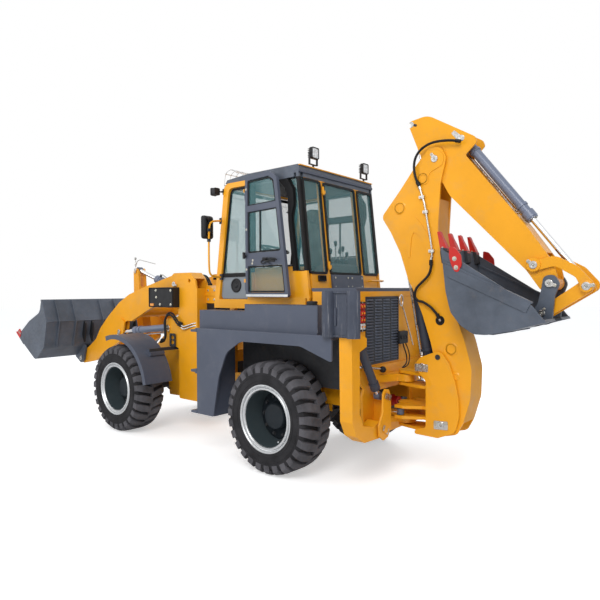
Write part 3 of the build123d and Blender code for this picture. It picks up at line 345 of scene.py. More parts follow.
def laid(flat, level, across):
    """An outline's points at a level: they are x, z for across y, and y, z for across x."""
    level = np.full(len(flat), float(level))
    return np.stack((flat[:, 0], level, flat[:, 1]) if across == "y" else (level, flat[:, 0], flat[:, 1]), 1)


def left_handed(outline):
    """An outline that keeps its inside on the left, which is where the sum of the cross products of
    neighbouring points is positive."""
    p = np.asarray(outline, float)
    return p[::-1] if np.sum(p[:, 0] * np.roll(p[:, 1], -1) - p[:, 1] * np.roll(p[:, 0], -1)) < 0 else p


def prism(outline, low, high, across="y"):
    """An outline carried straight from one side to the other, with flat ends."""
    flat = left_handed(outline)
    n, k = len(flat), np.arange(len(flat))
    quads = np.stack([k, (k + 1) % n, (k + 1) % n + n, k + n], 1).tolist()
    sides = (high, low) if across == "y" else (low, high)
    return np.concatenate([laid(flat, side, across) for side in sides]), [list(k[::-1]), list(k + n)] + quads


def slab_box(x0, x1, y0, y1, z0, z1):
    """A block between two corners."""
    return prism([(x0, z0), (x1, z0), (x1, z1), (x0, z1)], y0, y1)


def frame_at(direction):
    """Two unit vectors square to a direction."""
    d = np.asarray(direction, float)
    d = d / np.linalg.norm(d)
    side = np.cross(d, [0, 0, 1.0]) if abs(d[2]) < 0.9 else np.cross(d, [1.0, 0, 0])
    side /= np.linalg.norm(side)
    return d, side, np.cross(side, d)


def turned(origin, direction, profile, count=32):
    """A profile of (distance along, radius) pairs turned about an axis. Ends at radius 0 are closed fans."""
    d, u, v = frame_at(direction)
    along, radius = np.asarray(profile, float).T[:, :, None, None]
    a = np.linspace(0, 2 * np.pi, count, endpoint=False)[:, None]
    points = np.asarray(origin, float) + along * d + radius * (np.cos(a) * u + np.sin(a) * v)
    faces = grid_faces(len(profile), count, close_columns=True)[:, ::-1].tolist()
    if profile[0][1] > 0:
        faces.append(list(range(count)))
    if profile[-1][1] > 0:
        faces.append(list(range((len(profile) - 1) * count, len(profile) * count))[::-1])
    return points.reshape(-1, 3), faces


def ring(origin, direction, profile, count=96):
    """A closed profile turned about an axis through origin: a ring with no end caps."""
    points, faces = turned(origin, direction, profile + [profile[0]], count)
    return points, faces[:-2]


def rod(start, end, radius, count=16):
    """A round bar between two points, with a chamfer at both ends."""
    start, end = np.asarray(start, float), np.asarray(end, float)
    length, c = np.linalg.norm(end - start), radius * 0.12
    return turned(start, end - start, [(0, radius - c), (c, radius), (length - c, radius), (length, radius - c)],
                  count)


def hexagon_head(origin, direction, radius, height):
    """A bolt: washer, six-sided head with its chamfer."""
    washer = turned(origin, direction, [(-0.001, radius * 1.5), (radius * 0.18, radius * 1.5),
                                        (radius * 0.2, radius * 1.42)], 20)
    head = turned(origin, direction, [(radius * 0.1, radius * 1.0), (height * 0.85, radius), (height, radius * 0.86)],
                  6)
    return join([washer, head])


def smooth_path(points, steps=10):
    """A rounded line through its points: a Catmull-Rom curve, worked out as arrays."""
    p = np.asarray(points, float)
    p = np.concatenate([[2 * p[0] - p[1]], p, [2 * p[-1] - p[-2]]])
    t = np.linspace(0, 1, steps, endpoint=False)[:, None]
    a, b, c, d = p[:-3, None], p[1:-2, None], p[2:-1, None], p[3:, None]
    line = 0.5 * (2 * b + (c - a) * t + (2 * a - 5 * b + 4 * c - d) * t ** 2 + (3 * b - a - 3 * c + d) * t ** 3)
    return np.concatenate([line.reshape(-1, 3), p[-2:-1]])


def tube(path, radius, count=12, ends=True):
    """A circle carried along a path. Its frame is square to the path and to the normal of the plane that
    fits the path best."""
    path = np.asarray(path, float)
    way = np.gradient(path, axis=0)
    way /= np.linalg.norm(way, axis=1)[:, None]
    flat = path - path.mean(0)
    square = np.linalg.svd(flat, full_matrices=True)[2][2]
    sides = np.cross(way, square + [1e-4, 2e-4, 3e-4])
    sides /= np.linalg.norm(sides, axis=1)[:, None]
    up = np.cross(way, sides)
    a = np.linspace(0, 2 * np.pi, count, endpoint=False)
    radius = np.broadcast_to(np.asarray(radius, float), (len(path),))
    around = np.cos(a)[:, None] * sides[:, None] + np.sin(a)[:, None] * up[:, None]
    points = path[:, None] + radius[:, None, None] * around
    faces = grid_faces(len(path), count, close_columns=True)[:, ::-1].tolist()
    if ends:
        faces.append(list(range(count)))
        faces.append(list(range((len(path) - 1) * count, len(path) * count))[::-1])
    return points.reshape(-1, 3), faces


def mirrored(part):
    """The same mesh on the other side of the machine, with its faces turned round."""
    points, faces = part
    points = np.asarray(points, float).reshape(-1, 3) * [1, -1, 1]
    return points, [list(f)[::-1] for f in faces]


def rounded(outline, radius, steps=4):
    """An outline with each corner replaced by a Bezier curve that starts a radius before it."""
    p = np.asarray(outline, float)
    before, after = np.roll(p, 1, 0) - p, np.roll(p, -1, 0) - p
    reach = np.minimum(radius, 0.45 * np.minimum(np.linalg.norm(before, axis=1), np.linalg.norm(after, axis=1)))
    start = p + before * (reach / np.linalg.norm(before, axis=1))[:, None]
    end = p + after * (reach / np.linalg.norm(after, axis=1))[:, None]
    t = np.linspace(0, 1, steps + 1)[None, :, None]
    return ((1 - t) ** 2 * start[:, None] + 2 * t * (1 - t) * p[:, None] + t ** 2 * end[:, None]).reshape(-1, 2)


def rectangle(a0, b0, a1, b1, radius, steps=4):
    """A rectangle between two corners, with its own corners rounded."""
    return rounded([(a0, b0), (a1, b0), (a1, b1), (a0, b1)], radius, steps)


def inset(outline, distance):
    """An outline and the same moved inwards: each corner goes along the sum of its two edges' normals."""
    p = left_handed(outline)
    edge = np.roll(p, -1, 0) - p
    edge /= np.linalg.norm(edge, axis=1)[:, None]
    normal = np.stack([-edge[:, 1], edge[:, 0]], 1)
    last = np.roll(normal, 1, 0)
    return p, p + distance * (normal + last) / (1 + np.sum(normal * last, 1))[:, None]


def band(outline, width, low, high, across="y"):
    """A flat frame: the strip between an outline and its inset, carried from low to high."""
    outer, inner = inset(outline, width)
    rings = [laid(flat, level, across) for flat in (outer, inner) for level in (low, high)]
    n, k = len(outer), np.arange(len(outer))
    faces = []
    for a, b in ((0, 1), (1, 3), (3, 2), (2, 0)):
        faces += np.stack([a * n + k, a * n + (k + 1) % n, b * n + (k + 1) % n, b * n + k], 1).tolist()
    return np.concatenate(rings), faces


def closed_sheet(front, back, rows, columns):
    """Two grids of points, a sheet's faces, joined by a wall round their edge."""
    quads = grid_faces(rows, columns).tolist()
    rim = ([(i, 0) for i in range(rows)] + [(rows - 1, j) for j in range(1, columns)] +
           [(i, columns - 1) for i in range(rows - 2, -1, -1)] + [(0, j) for j in range(columns - 2, 0, -1)])
    rim = [i * columns + j for i, j in rim]
    shift = rows * columns
    wall = [[a, b, b + shift, a + shift] for a, b in zip(rim, rim[1:] + rim[:1])]
    return np.concatenate([front, back]), quads + [[i + shift for i in q[::-1]] for q in quads] + wall


def both_sides(*parts):
    """The parts and their mirror images."""
    return [p for part in parts for p in (part, mirrored(part))]


def leaned(part, slope, height):
    """A part sheared along x by a slope, from the given height."""
    points = np.asarray(part[0], float).reshape(-1, 3).copy()
    points[:, 0] += slope * (points[:, 2] - height)
    return points, part[1]


def swung(part, hinge, degrees):
    """A part turned about an upright hinge at x, y."""
    a = math.radians(degrees)
    turn = np.array([[math.cos(a), -math.sin(a)], [math.sin(a), math.cos(a)]])
    points = np.asarray(part[0], float).reshape(-1, 3).copy()
    points[:, :2] = (points[:, :2] - hinge) @ turn.T + hinge
    return points, part[1]


def side_bolts(places, y, radius, height):
    """Bolt heads on both sides of the machine, at places of x, z."""
    return both_sides(*[hexagon_head((x, y, z), (0, 1, 0), radius, height) for x, z in places])


def paired(line, step):
    """A line and its mirror image, each with a second one beside it that is moved by a step."""
    return [np.array(line) * [1, side, 1] + np.array(step) * k for side in (1, -1) for k in (0, 1)]


def piece(name, parts, material, body, **finish):
    """Several meshes as one piece."""
    return add(name, *join(parts), material, body, **finish)


def hose(points, radius, steps=8):
    """A hose or pipe round a smooth line through its points, with a collar at each end."""
    line = smooth_path(points, steps)
    parts = [tube(line, radius, 12)]
    for end, before in ((line[0], line[2]), (line[-1], line[-3])):
        way = (before - end) / np.linalg.norm(before - end)
        parts.append(turned(end, way, [(-0.002, radius * 1.1), (0.0, radius * 1.45), (0.035, radius * 1.45),
                                       (0.038, radius * 1.1)], 12))
        parts.append(turned(end + way * 0.036, way, [(0, radius * 1.5), (0.014, radius * 1.5), (0.016, radius * 1.2)],
                            6))
    return parts


def cushion(name, size, bulge, channels, tilt, place, material, count=48):
    """A cushion, leaned back by a tilt in degrees: a rounded block whose broad faces rise as a crown, the cosine
    of the place along each side, less the depth of its sewn channels. u runs round the section, v along it."""
    u = np.linspace(0, 2 * np.pi, count, endpoint=False)
    v = np.linspace(-1, 1, count)
    U, V = np.meshgrid(u, v)
    power = 0.32
    cx = np.sign(np.cos(U)) * np.abs(np.cos(U)) ** power
    cz = np.sign(np.sin(U)) * np.abs(np.sin(U)) ** power
    cap = (1 - np.abs(V) ** 6) ** (1 / 6)
    crown = 1 + bulge * np.cos(cx * 1.4) * np.cos(V * 1.4)
    sewn = 1 - 0.12 * sum(np.exp(-((V - c) / 0.03) ** 2) for c in channels)
    X = size[0] / 2 * cx * cap
    Z = size[2] / 2 * cz * cap * crown * sewn
    a = math.radians(tilt)
    points = np.stack([X * math.cos(a) - Z * math.sin(a), size[1] / 2 * V, X * math.sin(a) + Z * math.cos(a)], -1)
    obj = add(name, points.reshape(-1, 3) + place, grid_faces(count, count, close_columns=True).tolist(),
              material, "chassis")
    return obj


# ---------------------------------------------------------------- pieces

NODE_FINISH = {"rear_axle": "iron", "front_axle": "iron", "engine_block": "iron", "valve_block": "black",
               "rear_louvre": "louvre", "front_mudguards": "grey", "rear_mudguards": "grey", "head_lamps": "black",
               "door_left": "grey", "door_right": "grey", "loader_bucket": "slate", "backhoe_bucket": "slate",
               "cab_glass": "glass"}
# A node's faces with another finish, or with painted shade, by tests on the faces' middles from the rear axle and on
# their normals.
FACE_FINISH = {
    "cab_frame": [
        ("seal", lambda x, y, z, n: (x < 0.49) & (abs(y) > 0.60) & (z > 2.118) & (z < 3.108)),
        ("slate", lambda x, y, z, n: (z > 3.108) & (x < 0.563)),
        ("seal", lambda x, y, z, n: (x > 0.486) & (x < 0.563) & (abs(y) > 0.6) & (z > 2.118)),
        ("grey", lambda x, y, z, n: (abs(y) < 0.302) & (x < -0.2) & (z < 2.118)),
    ],
    "cab_roof": [("slate", lambda x, y, z, n: n[2] < 0.5)],
    "rear_hood": [("grey", lambda x, y, z, n: z > 1.899)],
    "door_left": [("glass", lambda x, y, z, n: door_pane(x, y, 1) & (abs(n[1]) > 0.95))],
    "door_right": [("glass", lambda x, y, z, n: door_pane(x, y, -1) & (abs(n[1]) > 0.95))],
    # the rear frame's low middle faces take the dark iron: painted shade under the body
    "rear_frame": [("iron", lambda x, y, z, n: (x > -0.86) & (z < 1.0) & (abs(y) < 0.36))],
    "front_mudguards": [("iron", lambda x, y, z, n: abs(y) < 0.60)],
    # the boom's rear-facing faces between its plates take the darker amber: painted shade
    "boom": [("deep_yellow", lambda x, y, z, n: (n[0] < -0.3) & (abs(y) < 0.113))],
    "loader_bucket": [("red", lambda x, y, z, n: x > 5.605)],
    "backhoe_bucket": [("red", lambda x, y, z, n: z > 2.30)],
    "rear_louvre": [("yellow", lambda x, y, z, n: y < -0.131)],
}
# Planes along which a shell's faces are split before they are tinted: axis and place from the rear axle.
CUTS = {
    "cab_frame": ((2, 2.118), (2, 3.108), (0, 0.487), (0, 0.563), (1, 0.302), (1, -0.302)),
    "backhoe_bucket": ((2, 2.30),), "loader_bucket": ((0, 5.605),), "rear_frame": ((2, 1.0), (0, -0.86)),
    "rear_hood": ((2, 1.899),), "rear_louvre": ((1, -0.131),),
}

# The rams' lines at rest, from the base pin to the pin of the rod's eye. Of a pair, it is the left one's.
RAM_LINES = {
    "lift_ram": ((2.380, 0.355, 1.410), (3.690, 0.355, 1.290)),
    "tilt_ram": ((2.250, 0, 1.770), (3.745, 0, 2.255)),
    "boom_ram": ((-1.340, 0, 1.150), (-1.050, 0, 2.720)),
    "dipper_ram": ((-1.640, 0, 1.340), (-1.190, 0, 3.580)),
    "bucket_ram": ((-1.720, 0, 3.350), (-2.800, 0, 1.935)),
    "steering_ram": ((0.900, 0.300, 0.640), (1.690, 0.300, 0.640)),
    "swing_ram": ((-0.360, 0.300, 0.682), (-1.115, 0.197, 0.682)),
    "stabiliser_ram": ((-1.005, 0.800, 1.420), (-1.005, 0.449, 0.865)),
}
SHELL_ANGLE = 28               # in degrees; sharper edges of the solids are broken
EYE_REACH = 0.064              # how far a rod's painted eye reaches from its pin

HINGE = (0.556, 0.733)         # x and y of the left door's hinge
DOOR_AJAR = -7                 # the left door's turn in the photo, in degrees
PANE_Y = 0.732                 # middle of a shut door's thickness
PAD_FOLD = (0.140, 0.062)      # place and half width of a pad's rolls, along the loader


def door_pane(x, y, side):
    """True for the faces of a door's panes, which lie in the middle of its thickness."""
    if side > 0:
        a = math.radians(-DOOR_AJAR)
        y = HINGE[1] + math.sin(a) * (x - HINGE[0]) + math.cos(a) * (y - HINGE[1])
    return abs(abs(y) - PANE_Y) < 0.0055


def ram_line(name, side=1):
    """A ram's base pin, the pin of its eye, and the unit vector from one to the other."""
    base, eye = (np.array(p) * [1, side, 1] for p in RAM_LINES[name])
    return base, eye, (eye - base) / np.linalg.norm(eye - base)


def tint_eyes(obj, node):
    """A rod is chrome; its eye, which is wider than the rod, is painted as the barrel is."""
    base, eye, way = ram_line(node[:node.index("_rod")])
    tint(obj, [("barrel", lambda x, y, z, n: abs(
        (np.stack([x, abs(y) if base[1] > 0 else y, z], 1) - eye) @ way) < EYE_REACH)])


def finish_of(node):
    """A node's main finish."""
    if node in NODE_FINISH:
        return NODE_FINISH[node]
    if "ram_rod" in node:
        return "chrome"
    if "ram_barrel" in node:
        return "ram_pale" if node.startswith(("lift", "bucket", "tilt")) else "ram_dark"
    return "yellow"


def tint(obj, choices):
    """Gives faces another material. Each choice is a material and a test on arrays of the faces' middles,
    as x, y, z from the rear axle, and on the three rows of their normals."""
    mesh = obj.data
    count = len(mesh.polygons)
    middle, normal = np.empty(count * 3), np.empty(count * 3)
    mesh.polygons.foreach_get("center", middle)
    mesh.polygons.foreach_get("normal", normal)
    middle, normal = middle.reshape(-1, 3), normal.reshape(-1, 3)
    middle[:, 0] -= AXLE_X
    index = np.zeros(count, int)
    for material, test in choices:
        mesh.materials.append(MATERIALS[material])
        index[test(*middle.T, normal.T)] = len(mesh.materials) - 1
    mesh.polygons.foreach_set("material_index", index)
    mesh.update()


def shell_of(node, material, edge):
    """A copy of a solid's surface with its corners merged, flat faces joined and edges broken."""
    mesh = bpy.data.meshes.new(node + "_shell")
    work = bmesh.new()
    work.from_mesh(NODES[node].data)
    bmesh.ops.remove_doubles(work, verts=work.verts, dist=1e-5)
    bmesh.ops.dissolve_limit(work, angle_limit=math.radians(0.6), verts=work.verts, edges=work.edges)
    for axis, place in CUTS.get(node, ()):
        where, normal = [0.0, 0.0, 0.0], [0.0, 0.0, 0.0]
        where[axis], normal[axis] = place + (AXLE_X if axis == 0 else 0.0), 1.0
        bmesh.ops.bisect_plane(work, geom=work.verts[:] + work.edges[:] + work.faces[:], dist=1e-6,
                               plane_co=where, plane_no=normal)
    work.to_mesh(mesh)
    work.free()
    mesh.materials.clear()
    mesh.materials.append(MATERIALS[material])
    obj = bpy.data.objects.new(node + "_shell", mesh)
    bpy.context.scene.collection.objects.link(obj)
    for polygon in mesh.polygons:
        polygon.material_index = 0
    mesh.shade_smooth()
    mesh.set_sharp_from_angle(angle=math.radians(SHELL_ANGLE))
    break_edges(obj, "broken_edge", edge, SHELL_ANGLE)
    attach(obj, BODY_OF[node])
    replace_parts(obj, node)
    return obj


class BACKHOE_OT_shells(bpy.types.Operator):
    """Gives the solids their paint and breaks their sharp edges"""

    bl_idname = "backhoe.shells"
    bl_label = "Painted Shells"

    def execute(self, context):
        sizes = context.scene.loader_sizes
        for node, obj in NODES.items():
            if node.startswith(("wheel_", "stabiliser_pad")) or node in ("mirrors", "seat", "steering_console",
                                                                         "lamps"):
                continue            # shown by pieces of their own
            material = finish_of(node)
            if node == "cab_glass":
                obj.data.materials.clear()
                obj.data.materials.append(MATERIALS[material])
                continue
            shell = shell_of(node, material, sizes.edge)
            if node in FACE_FINISH:
                tint(shell, FACE_FINISH[node])
            elif "ram_rod" in node:
                tint_eyes(shell, node)
        return {"FINISHED"}


TYRE_HALF = 0.21               # half the tyre's width
# Sections of the rim, of its inner wall and of the dish, as (place along the axle, radius) pairs
RIM = [(0.150, 0.300), (0.150, 0.352), (0.196, 0.358), (0.203, 0.354), (0.203, 0.343), (0.197, 0.337), (0.182, 0.333),
       (0.180, 0.327), (0.190, 0.322), (0.197, 0.316), (0.197, 0.302), (0.190, 0.296), (0.176, 0.292), (0.150, 0.292)]
RIM_WALL = [(0.180, 0.296), (0.180, 0.291), (0.10, 0.286), (0.02, 0.276), (-0.04, 0.262), (-0.05, 0.262),
            (-0.05, 0.300), (0.150, 0.302)]
DISH = [(-0.045, 0.270), (-0.030, 0.245), (-0.020, 0.175), (0.000, 0.150), (0.045, 0.138), (0.056, 0.126),
        (0.060, 0.0), (-0.07, 0.0), (-0.07, 0.27), (-0.045, 0.270)]
NUT_COUNT, NUT_CIRCLE = 10, 0.205


def carcass(depth):
    """The tyre's section as (place along the axle, radius) pairs: one flank, the crown a lug's depth below the
    tread, and the flank's mirror image."""
    flank = [(0.030, 0.335), (0.012, 0.345), (0.003, 0.375), (0, 0.42), (0.002, 0.47), (0.010, 0.505),
             (0.022, 0.527), (0.045, 0.538), (0.09, TYRE_R - depth - 0.003), (TYRE_HALF - 0.05, TYRE_R - depth)]
    half = [(y - TYRE_HALF, r) for y, r in flank]
    return half + [(-y, r) for y, r in half[::-1]]


def lugs_of(centre, side, count):
    """A tyre's lugs. A lug runs from the shoulder, t = 0, to the middle of the tread, t = 1, and slides round
    by 0.105 t^1.3 on its way. Its section is a trapezium with a radius and half an angle at foot and top."""
    t = np.linspace(0, 1, 7)
    top = TYRE_R - np.array([0.046, 0.014, 0.003, 0.0, 0.0, 0.0, 0.0])
    foot = np.array([0.478, 0.500, 0.520, 0.532, 0.536, 0.536, 0.536])
    width = np.array([0.27, 0.31, 0.33, 0.33, 0.32, 0.31, 0.28]) * 2 * np.pi / count
    wide = width + 0.008 / TYRE_R
    faces = grid_faces(7, 4, close_columns=True).tolist() + [[0, 1, 2, 3], [27, 26, 25, 24]]
    lugs = []
    for edge in (1, -1):
        y = centre[1] + edge * (TYRE_HALF - 0.002 - t * (TYRE_HALF + 0.010))
        for k in range(count):
            middle = 2 * np.pi * (k + (0.5 if edge < 0 else 0.0)) / count + 0.105 * t ** 1.3 * side
            corners = [np.stack([centre[0] + r * np.cos(a), y, centre[2] + r * np.sin(a)], 1) for a, r in
                       ((middle - wide, foot), (middle - width, top), (middle + width, top), (middle + wide, foot))]
            lugs.append((np.stack(corners, 1).reshape(-1, 3), faces))
    return lugs


class BACKHOE_OT_wheels(bpy.types.Operator):
    """Builds the four tyres with their lugs, and the rims with their dishes and nuts"""

    bl_idname = "backhoe.wheels"
    bl_label = "Wheels"

    def execute(self, context):
        sizes = context.scene.loader_sizes
        for x, place in ((0.0, "rear"), (WHEELBASE, "front")):
            for side, label in ((1, "left"), (-1, "right")):
                tag = place + "_" + label
                node = "wheel_" + tag
                centre, out = np.array([x, side * TRACK_HALF, TYRE_R]), (0, side, 0)
                tyre = piece("tyre_" + tag, [ring(centre, (0, 1, 0), carcass(sizes.lug_depth))], "tyre", node,
                             angle=32)
                piece("tread_" + tag, lugs_of(centre, side, sizes.lug_count), "lug", node, angle=32)
                ribs = [ring(centre + [0, side * 0.2085, 0], out,
                             [(-0.004, r - 0.004), (0.0, r - 0.003), (0.003, r), (0.0, r + 0.003),
                              (-0.004, r + 0.004)]) for r in (0.392, 0.452)]
                piece("sidewall_ribs_" + tag, ribs, "tyre", node)
                piece("rim_" + tag, [ring(centre, out, RIM)], "silver", node)
                piece("rim_wall_" + tag, [ring(centre, out, RIM_WALL)], "rim_wall", node)
                piece("dish_" + tag, [turned(centre, out, DISH, 72)], "dish", node)
                angles = 2 * np.pi * np.arange(NUT_COUNT) / NUT_COUNT
                nuts = [hexagon_head(centre + [NUT_CIRCLE * math.cos(a), side * -0.026, NUT_CIRCLE * math.sin(a)],
                                     out, 0.017, 0.024) for a in angles]
                piece("nuts_" + tag, nuts, "iron", node, angle=30)
                valve = rod(centre + [-0.10, side * 0.02, -0.225], centre + [-0.145, side * 0.15, -0.225], 0.009)
                piece("valve_" + tag, [valve], "silver", node)
                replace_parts(tyre, node)
        return {"FINISHED"}


def pin_head(x, y, z, side, radius, angle=200.0):
    """The end of a pin: a chamfered face with a dimple and grease nipple, held by a lock plate and a bolt
    that lie at an angle from the pin, counted in degrees up from the front."""
    out = np.array([0.0, side, 0.0])
    at = np.array([x, side * y, z])
    face = turned(at, out, [(-0.004, radius), (0.004, radius), (0.007, radius * 0.9), (0.007, radius * 0.36),
                            (0.003, radius * 0.3), (0.003, 0.0)], 28)
    nipple = turned(at + out * 0.003, out, [(0, 0.006), (0.006, 0.006), (0.008, 0.004), (0.013, 0.004), (0.015, 0.0)],
                    8)
    a = math.radians(angle)
    way = np.array([math.cos(a), 0, math.sin(a)])
    across = np.array([-way[2], 0, way[0]])
    middle = at + way * radius * 1.25
    reach, half = radius * 1.0, radius * 0.42
    corners = [middle + way * u * reach + across * v * half for u, v in ((-0.6, -1), (0.6, -1), (0.6, 1), (-0.6, 1))]
    plate = prism(rounded([(c[0], c[2]) for c in corners], radius * 0.3), side * y, side * (y + 0.008))
    bolt = hexagon_head(middle + way * reach * 0.25 + out * 0.008, out, radius * 0.26, 0.009)
    return [face, plate], [nipple, bolt]


def pins(name, body, places, radius=0.035):
    """The ends of a body's pins on both sides. A place is x, y of the face, z and the lock plate's angle."""
    plates, small = [], []
    for x, y, z, angle in places:
        for side in (1, -1):
            a, b = pin_head(x, y, z, side, radius, angle)
            plates += a
            small += b
    piece(name + "_pin_ends", plates, "steel", body, edge=0.0015)
    piece(name + "_pin_bolts", small, "bolt", body, angle=28)


def boss(x, y, z, side, radius, height):
    """A welded round boss with its weld bead and a chamfered rim."""
    return turned((x, side * y, z), (0, side, 0),
                  [(0, radius + 0.010), (0.004, radius + 0.004), (0.006, radius), (height, radius),
                   (height + 0.003, radius - 0.004), (height + 0.003, radius * 0.62), (height - 0.001, radius * 0.6),
                   (height - 0.001, 0.0)], 32)


def side_plate(outline, radius, y, thickness):
    """A doubler plate on both sides of the machine."""
    return both_sides(prism(rounded(outline, radius), y, y + thickness))


def ram_bands(name, side, inner, outer, places, count=36):
    """Bands round a ram's barrel, each at a distance from the base pin and with a width."""
    base, _, way = ram_line(name, side)
    return [ring(base + way * at, way, [(0, inner), (0.002, outer), (wide, outer), (wide + 0.002, inner)], count)
            for at, wide in places]


def on_door(parts, side):
    """Door parts given for the shut left door: the left ones stand ajar, the right ones are mirrored."""
    return [swung(p, HINGE, DOOR_AJAR) for p in parts] if side > 0 else [mirrored(p) for p in parts]


class BACKHOE_OT_glazing(bpy.types.Operator):
    """Makes the seals and bands of the cab's windows, and the panels under the glass"""

    bl_idname = "backhoe.glazing"
    bl_label = "Glazing"

    def execute(self, context):
        rear_slope, front_slope = 0.1, -0.138
        seals = []
        for y0, y1 in ((-0.664, -0.350), (-0.305, 0.310), (0.355, 0.664)):
            outline = [(y0 - 0.004, 2.085), (y1 + 0.004, 2.085), (y1 + 0.004, 3.105), (y0 - 0.004, 3.105)]
            seals.append(leaned(band(rounded(outline, 0.05), 0.026, -0.322, -0.298, "x"), rear_slope, 2.095))
        outline = [(-0.642, 1.950), (0.642, 1.950), (0.642, 3.112), (-0.642, 3.112)]
        seals.append(leaned(band(rounded(outline, 0.09), 0.035, 1.080, 1.099, "x"), front_slope, 1.955))
        front_pane = [(0.560, 2.095), (0.990, 2.095), (1.000, 2.11), (0.862, 3.06), (0.826, 3.103), (0.560, 3.103)]
        rear_pane = [(-0.285, 2.115), (-0.172, 2.115), (-0.103, 2.690), (-0.138, 2.825), (-0.129, 2.985),
                     (-0.05, 3.108), (-0.172, 3.108)]
        seals += both_sides(band(rounded(front_pane, 0.04), 0.022, 0.662, 0.684))
        seals += both_sides(band(rounded(rear_pane, 0.01), 0.010, 0.662, 0.681))
        seals += both_sides(slab_box(0.560, 1.035, 0.660, 0.690, 2.075, 2.120))
        piece("window_seals", seals, "seal", "chassis")
        corner = both_sides(leaned(slab_box(-0.310, -0.296, 0.662, 0.682, 2.095, 3.105), rear_slope, 2.095))
        piece("glass_corner_joint", corner, "seal", "chassis")
        lower = both_sides(prism(rounded([(0.565, 1.820), (1.002, 1.820), (1.026, 1.852), (1.000, 2.074),
                                          (0.565, 2.074)], 0.012), 0.656, 0.682))
        piece("foot_panels", lower, "pale", "chassis", edge=0.003)
        speakers = both_sides(turned((0.770, 0.680, 1.975), (0, 1, 0),
                                     [(0, 0.082), (0.012, 0.082), (0.018, 0.076), (0.018, 0.066), (0.010, 0.062),
                                      (0.006, 0.030), (0.014, 0.022), (0.017, 0.0)], 40))
        piece("speakers", speakers, "black", "chassis")
        # black square of the air outlet in the rear corner panel, with its blades, and the panel in the middle
        panel_lean = (0.103, 2.09)
        vent = [band(rectangle(0.404, 2.009, 0.533, 2.073, 0.008), 0.009, -0.334, -0.312, "x")]
        vent += [prism([(-0.332, z), (-0.326, z + 0.004), (-0.318, z - 0.003), (-0.324, z - 0.007)], 0.410, 0.527)
                 for z in np.linspace(2.022, 2.062, 5)]
        vent += [slab_box(-0.318, -0.314, 0.410, 0.527, 2.014, 2.068)]
        piece("air_outlet", [leaned(p, *panel_lean) for p in vent], "black", "chassis")
        lower_panel = [leaned(prism(rectangle(-0.297, 1.925, 0.300, 2.083, 0.02), -0.345, -0.318, "x"), *panel_lean)]
        piece("rear_lower_panel", lower_panel, "grey", "chassis", edge=0.004)
        screws = [hexagon_head((-0.352, y, z), (-1, 0, 0.1), 0.008, 0.007)
                  for y in (-0.26, -0.06, 0.02, 0.26) for z in (1.955, 2.05)]
        piece("rear_panel_screws", screws, "bolt", "chassis")
        return {"FINISHED"}


class BACKHOE_OT_doors(bpy.types.Operator):
    """Makes the doors' seals, cross bar, latch, screws, grip and sill strip"""

    bl_idname = "backhoe.doors"
    bl_label = "Doors"

    def execute(self, context):
        for side, node in ((1, "door_left"), (-1, "door_right")):
            upper = [(0.500, 2.858), (0.500, 3.138), (0.135, 3.138), (0.062, 3.088), (0.020, 2.858)]
            lower = [(0.500, 2.335), (0.500, 2.800), (0.010, 2.800), (-0.056, 2.335)]
            small = [(0.500, 1.895), (0.500, 2.185), (-0.079, 2.185), (-0.122, 1.895)]
            seals = [band(rounded(o, 0.025), 0.016, 0.722, 0.7425) for o in (upper, lower, small)]
            seals.append(slab_box(0.286, 0.304, 0.724, 0.741, 2.345, 2.795))
            seals.append(band(rounded([(0.540, 1.850), (0.540, 3.150), (0.122, 3.150), (0.012, 3.085),
                                       (-0.176, 1.850)], 0.05), 0.014, 0.7125, 0.716))
            piece(node + "_seals", on_door(seals, side), "seal", node)
            bars = [prism(rounded([(0.512, 2.792), (0.512, 2.862), (0.016, 2.862), (0.006, 2.792)], 0.006),
                          0.716, 0.752)]
            piece(node + "_cross_bar", on_door(bars, side), "grey", node, edge=0.006)
            # a bent lever latch on its plate, below the sliding window
            plate = [prism(rounded([(0.03, 2.215), (0.24, 2.235), (0.24, 2.275), (0.03, 2.262)], 0.015), 0.750,
                           0.756)]
            plate += [rod((0.17, 0.752, 2.255), (0.17, 0.782, 2.255), 0.011, 16)]
            plate += [tube(smooth_path([(0.175, 0.778, 2.255), (0.12, 0.784, 2.262), (0.06, 0.786, 2.246),
                                        (0.00, 0.786, 2.252), (-0.03, 0.780, 2.235)], 8), 0.008, 10)]
            plate += [tube(smooth_path([(0.22, 0.758, 2.250), (0.25, 0.765, 2.225), (0.21, 0.765, 2.205),
                                        (0.16, 0.763, 2.222), (0.10, 0.763, 2.203)], 8), 0.006, 10)]
            piece(node + "_latch", on_door(plate, side), "black", node)
            screws = [hexagon_head((x, 0.750, z), (0, 1, 0), 0.009, 0.007)
                      for x, z in ((0.420, 2.215), (0.412, 2.248), (0.525, 2.60), (0.525, 2.15), (0.525, 3.05))]
            piece(node + "_screws", on_door(screws, side), "bolt", node)
            grip = [rod((0.535, 0.745, 2.30), (0.535, 0.775, 2.30), 0.012, 16),
                    prism(rectangle(0.520, 2.270, 0.552, 2.345, 0.012), 0.768, 0.786)]
            piece(node + "_grip", on_door(grip, side), "black", node, edge=0.003)
            sill = [slab_box(-0.170, 0.535, 0.7505, 0.754, 1.846, 1.872)]
            piece(node + "_sill_strip", on_door(sill, side), "silver", node, edge=0.001)
        return {"FINISHED"}


def screen(z):
    """The x of the leaning windscreen's outer face at a height."""
    return 1.103 - 0.138 * (z - 1.955)


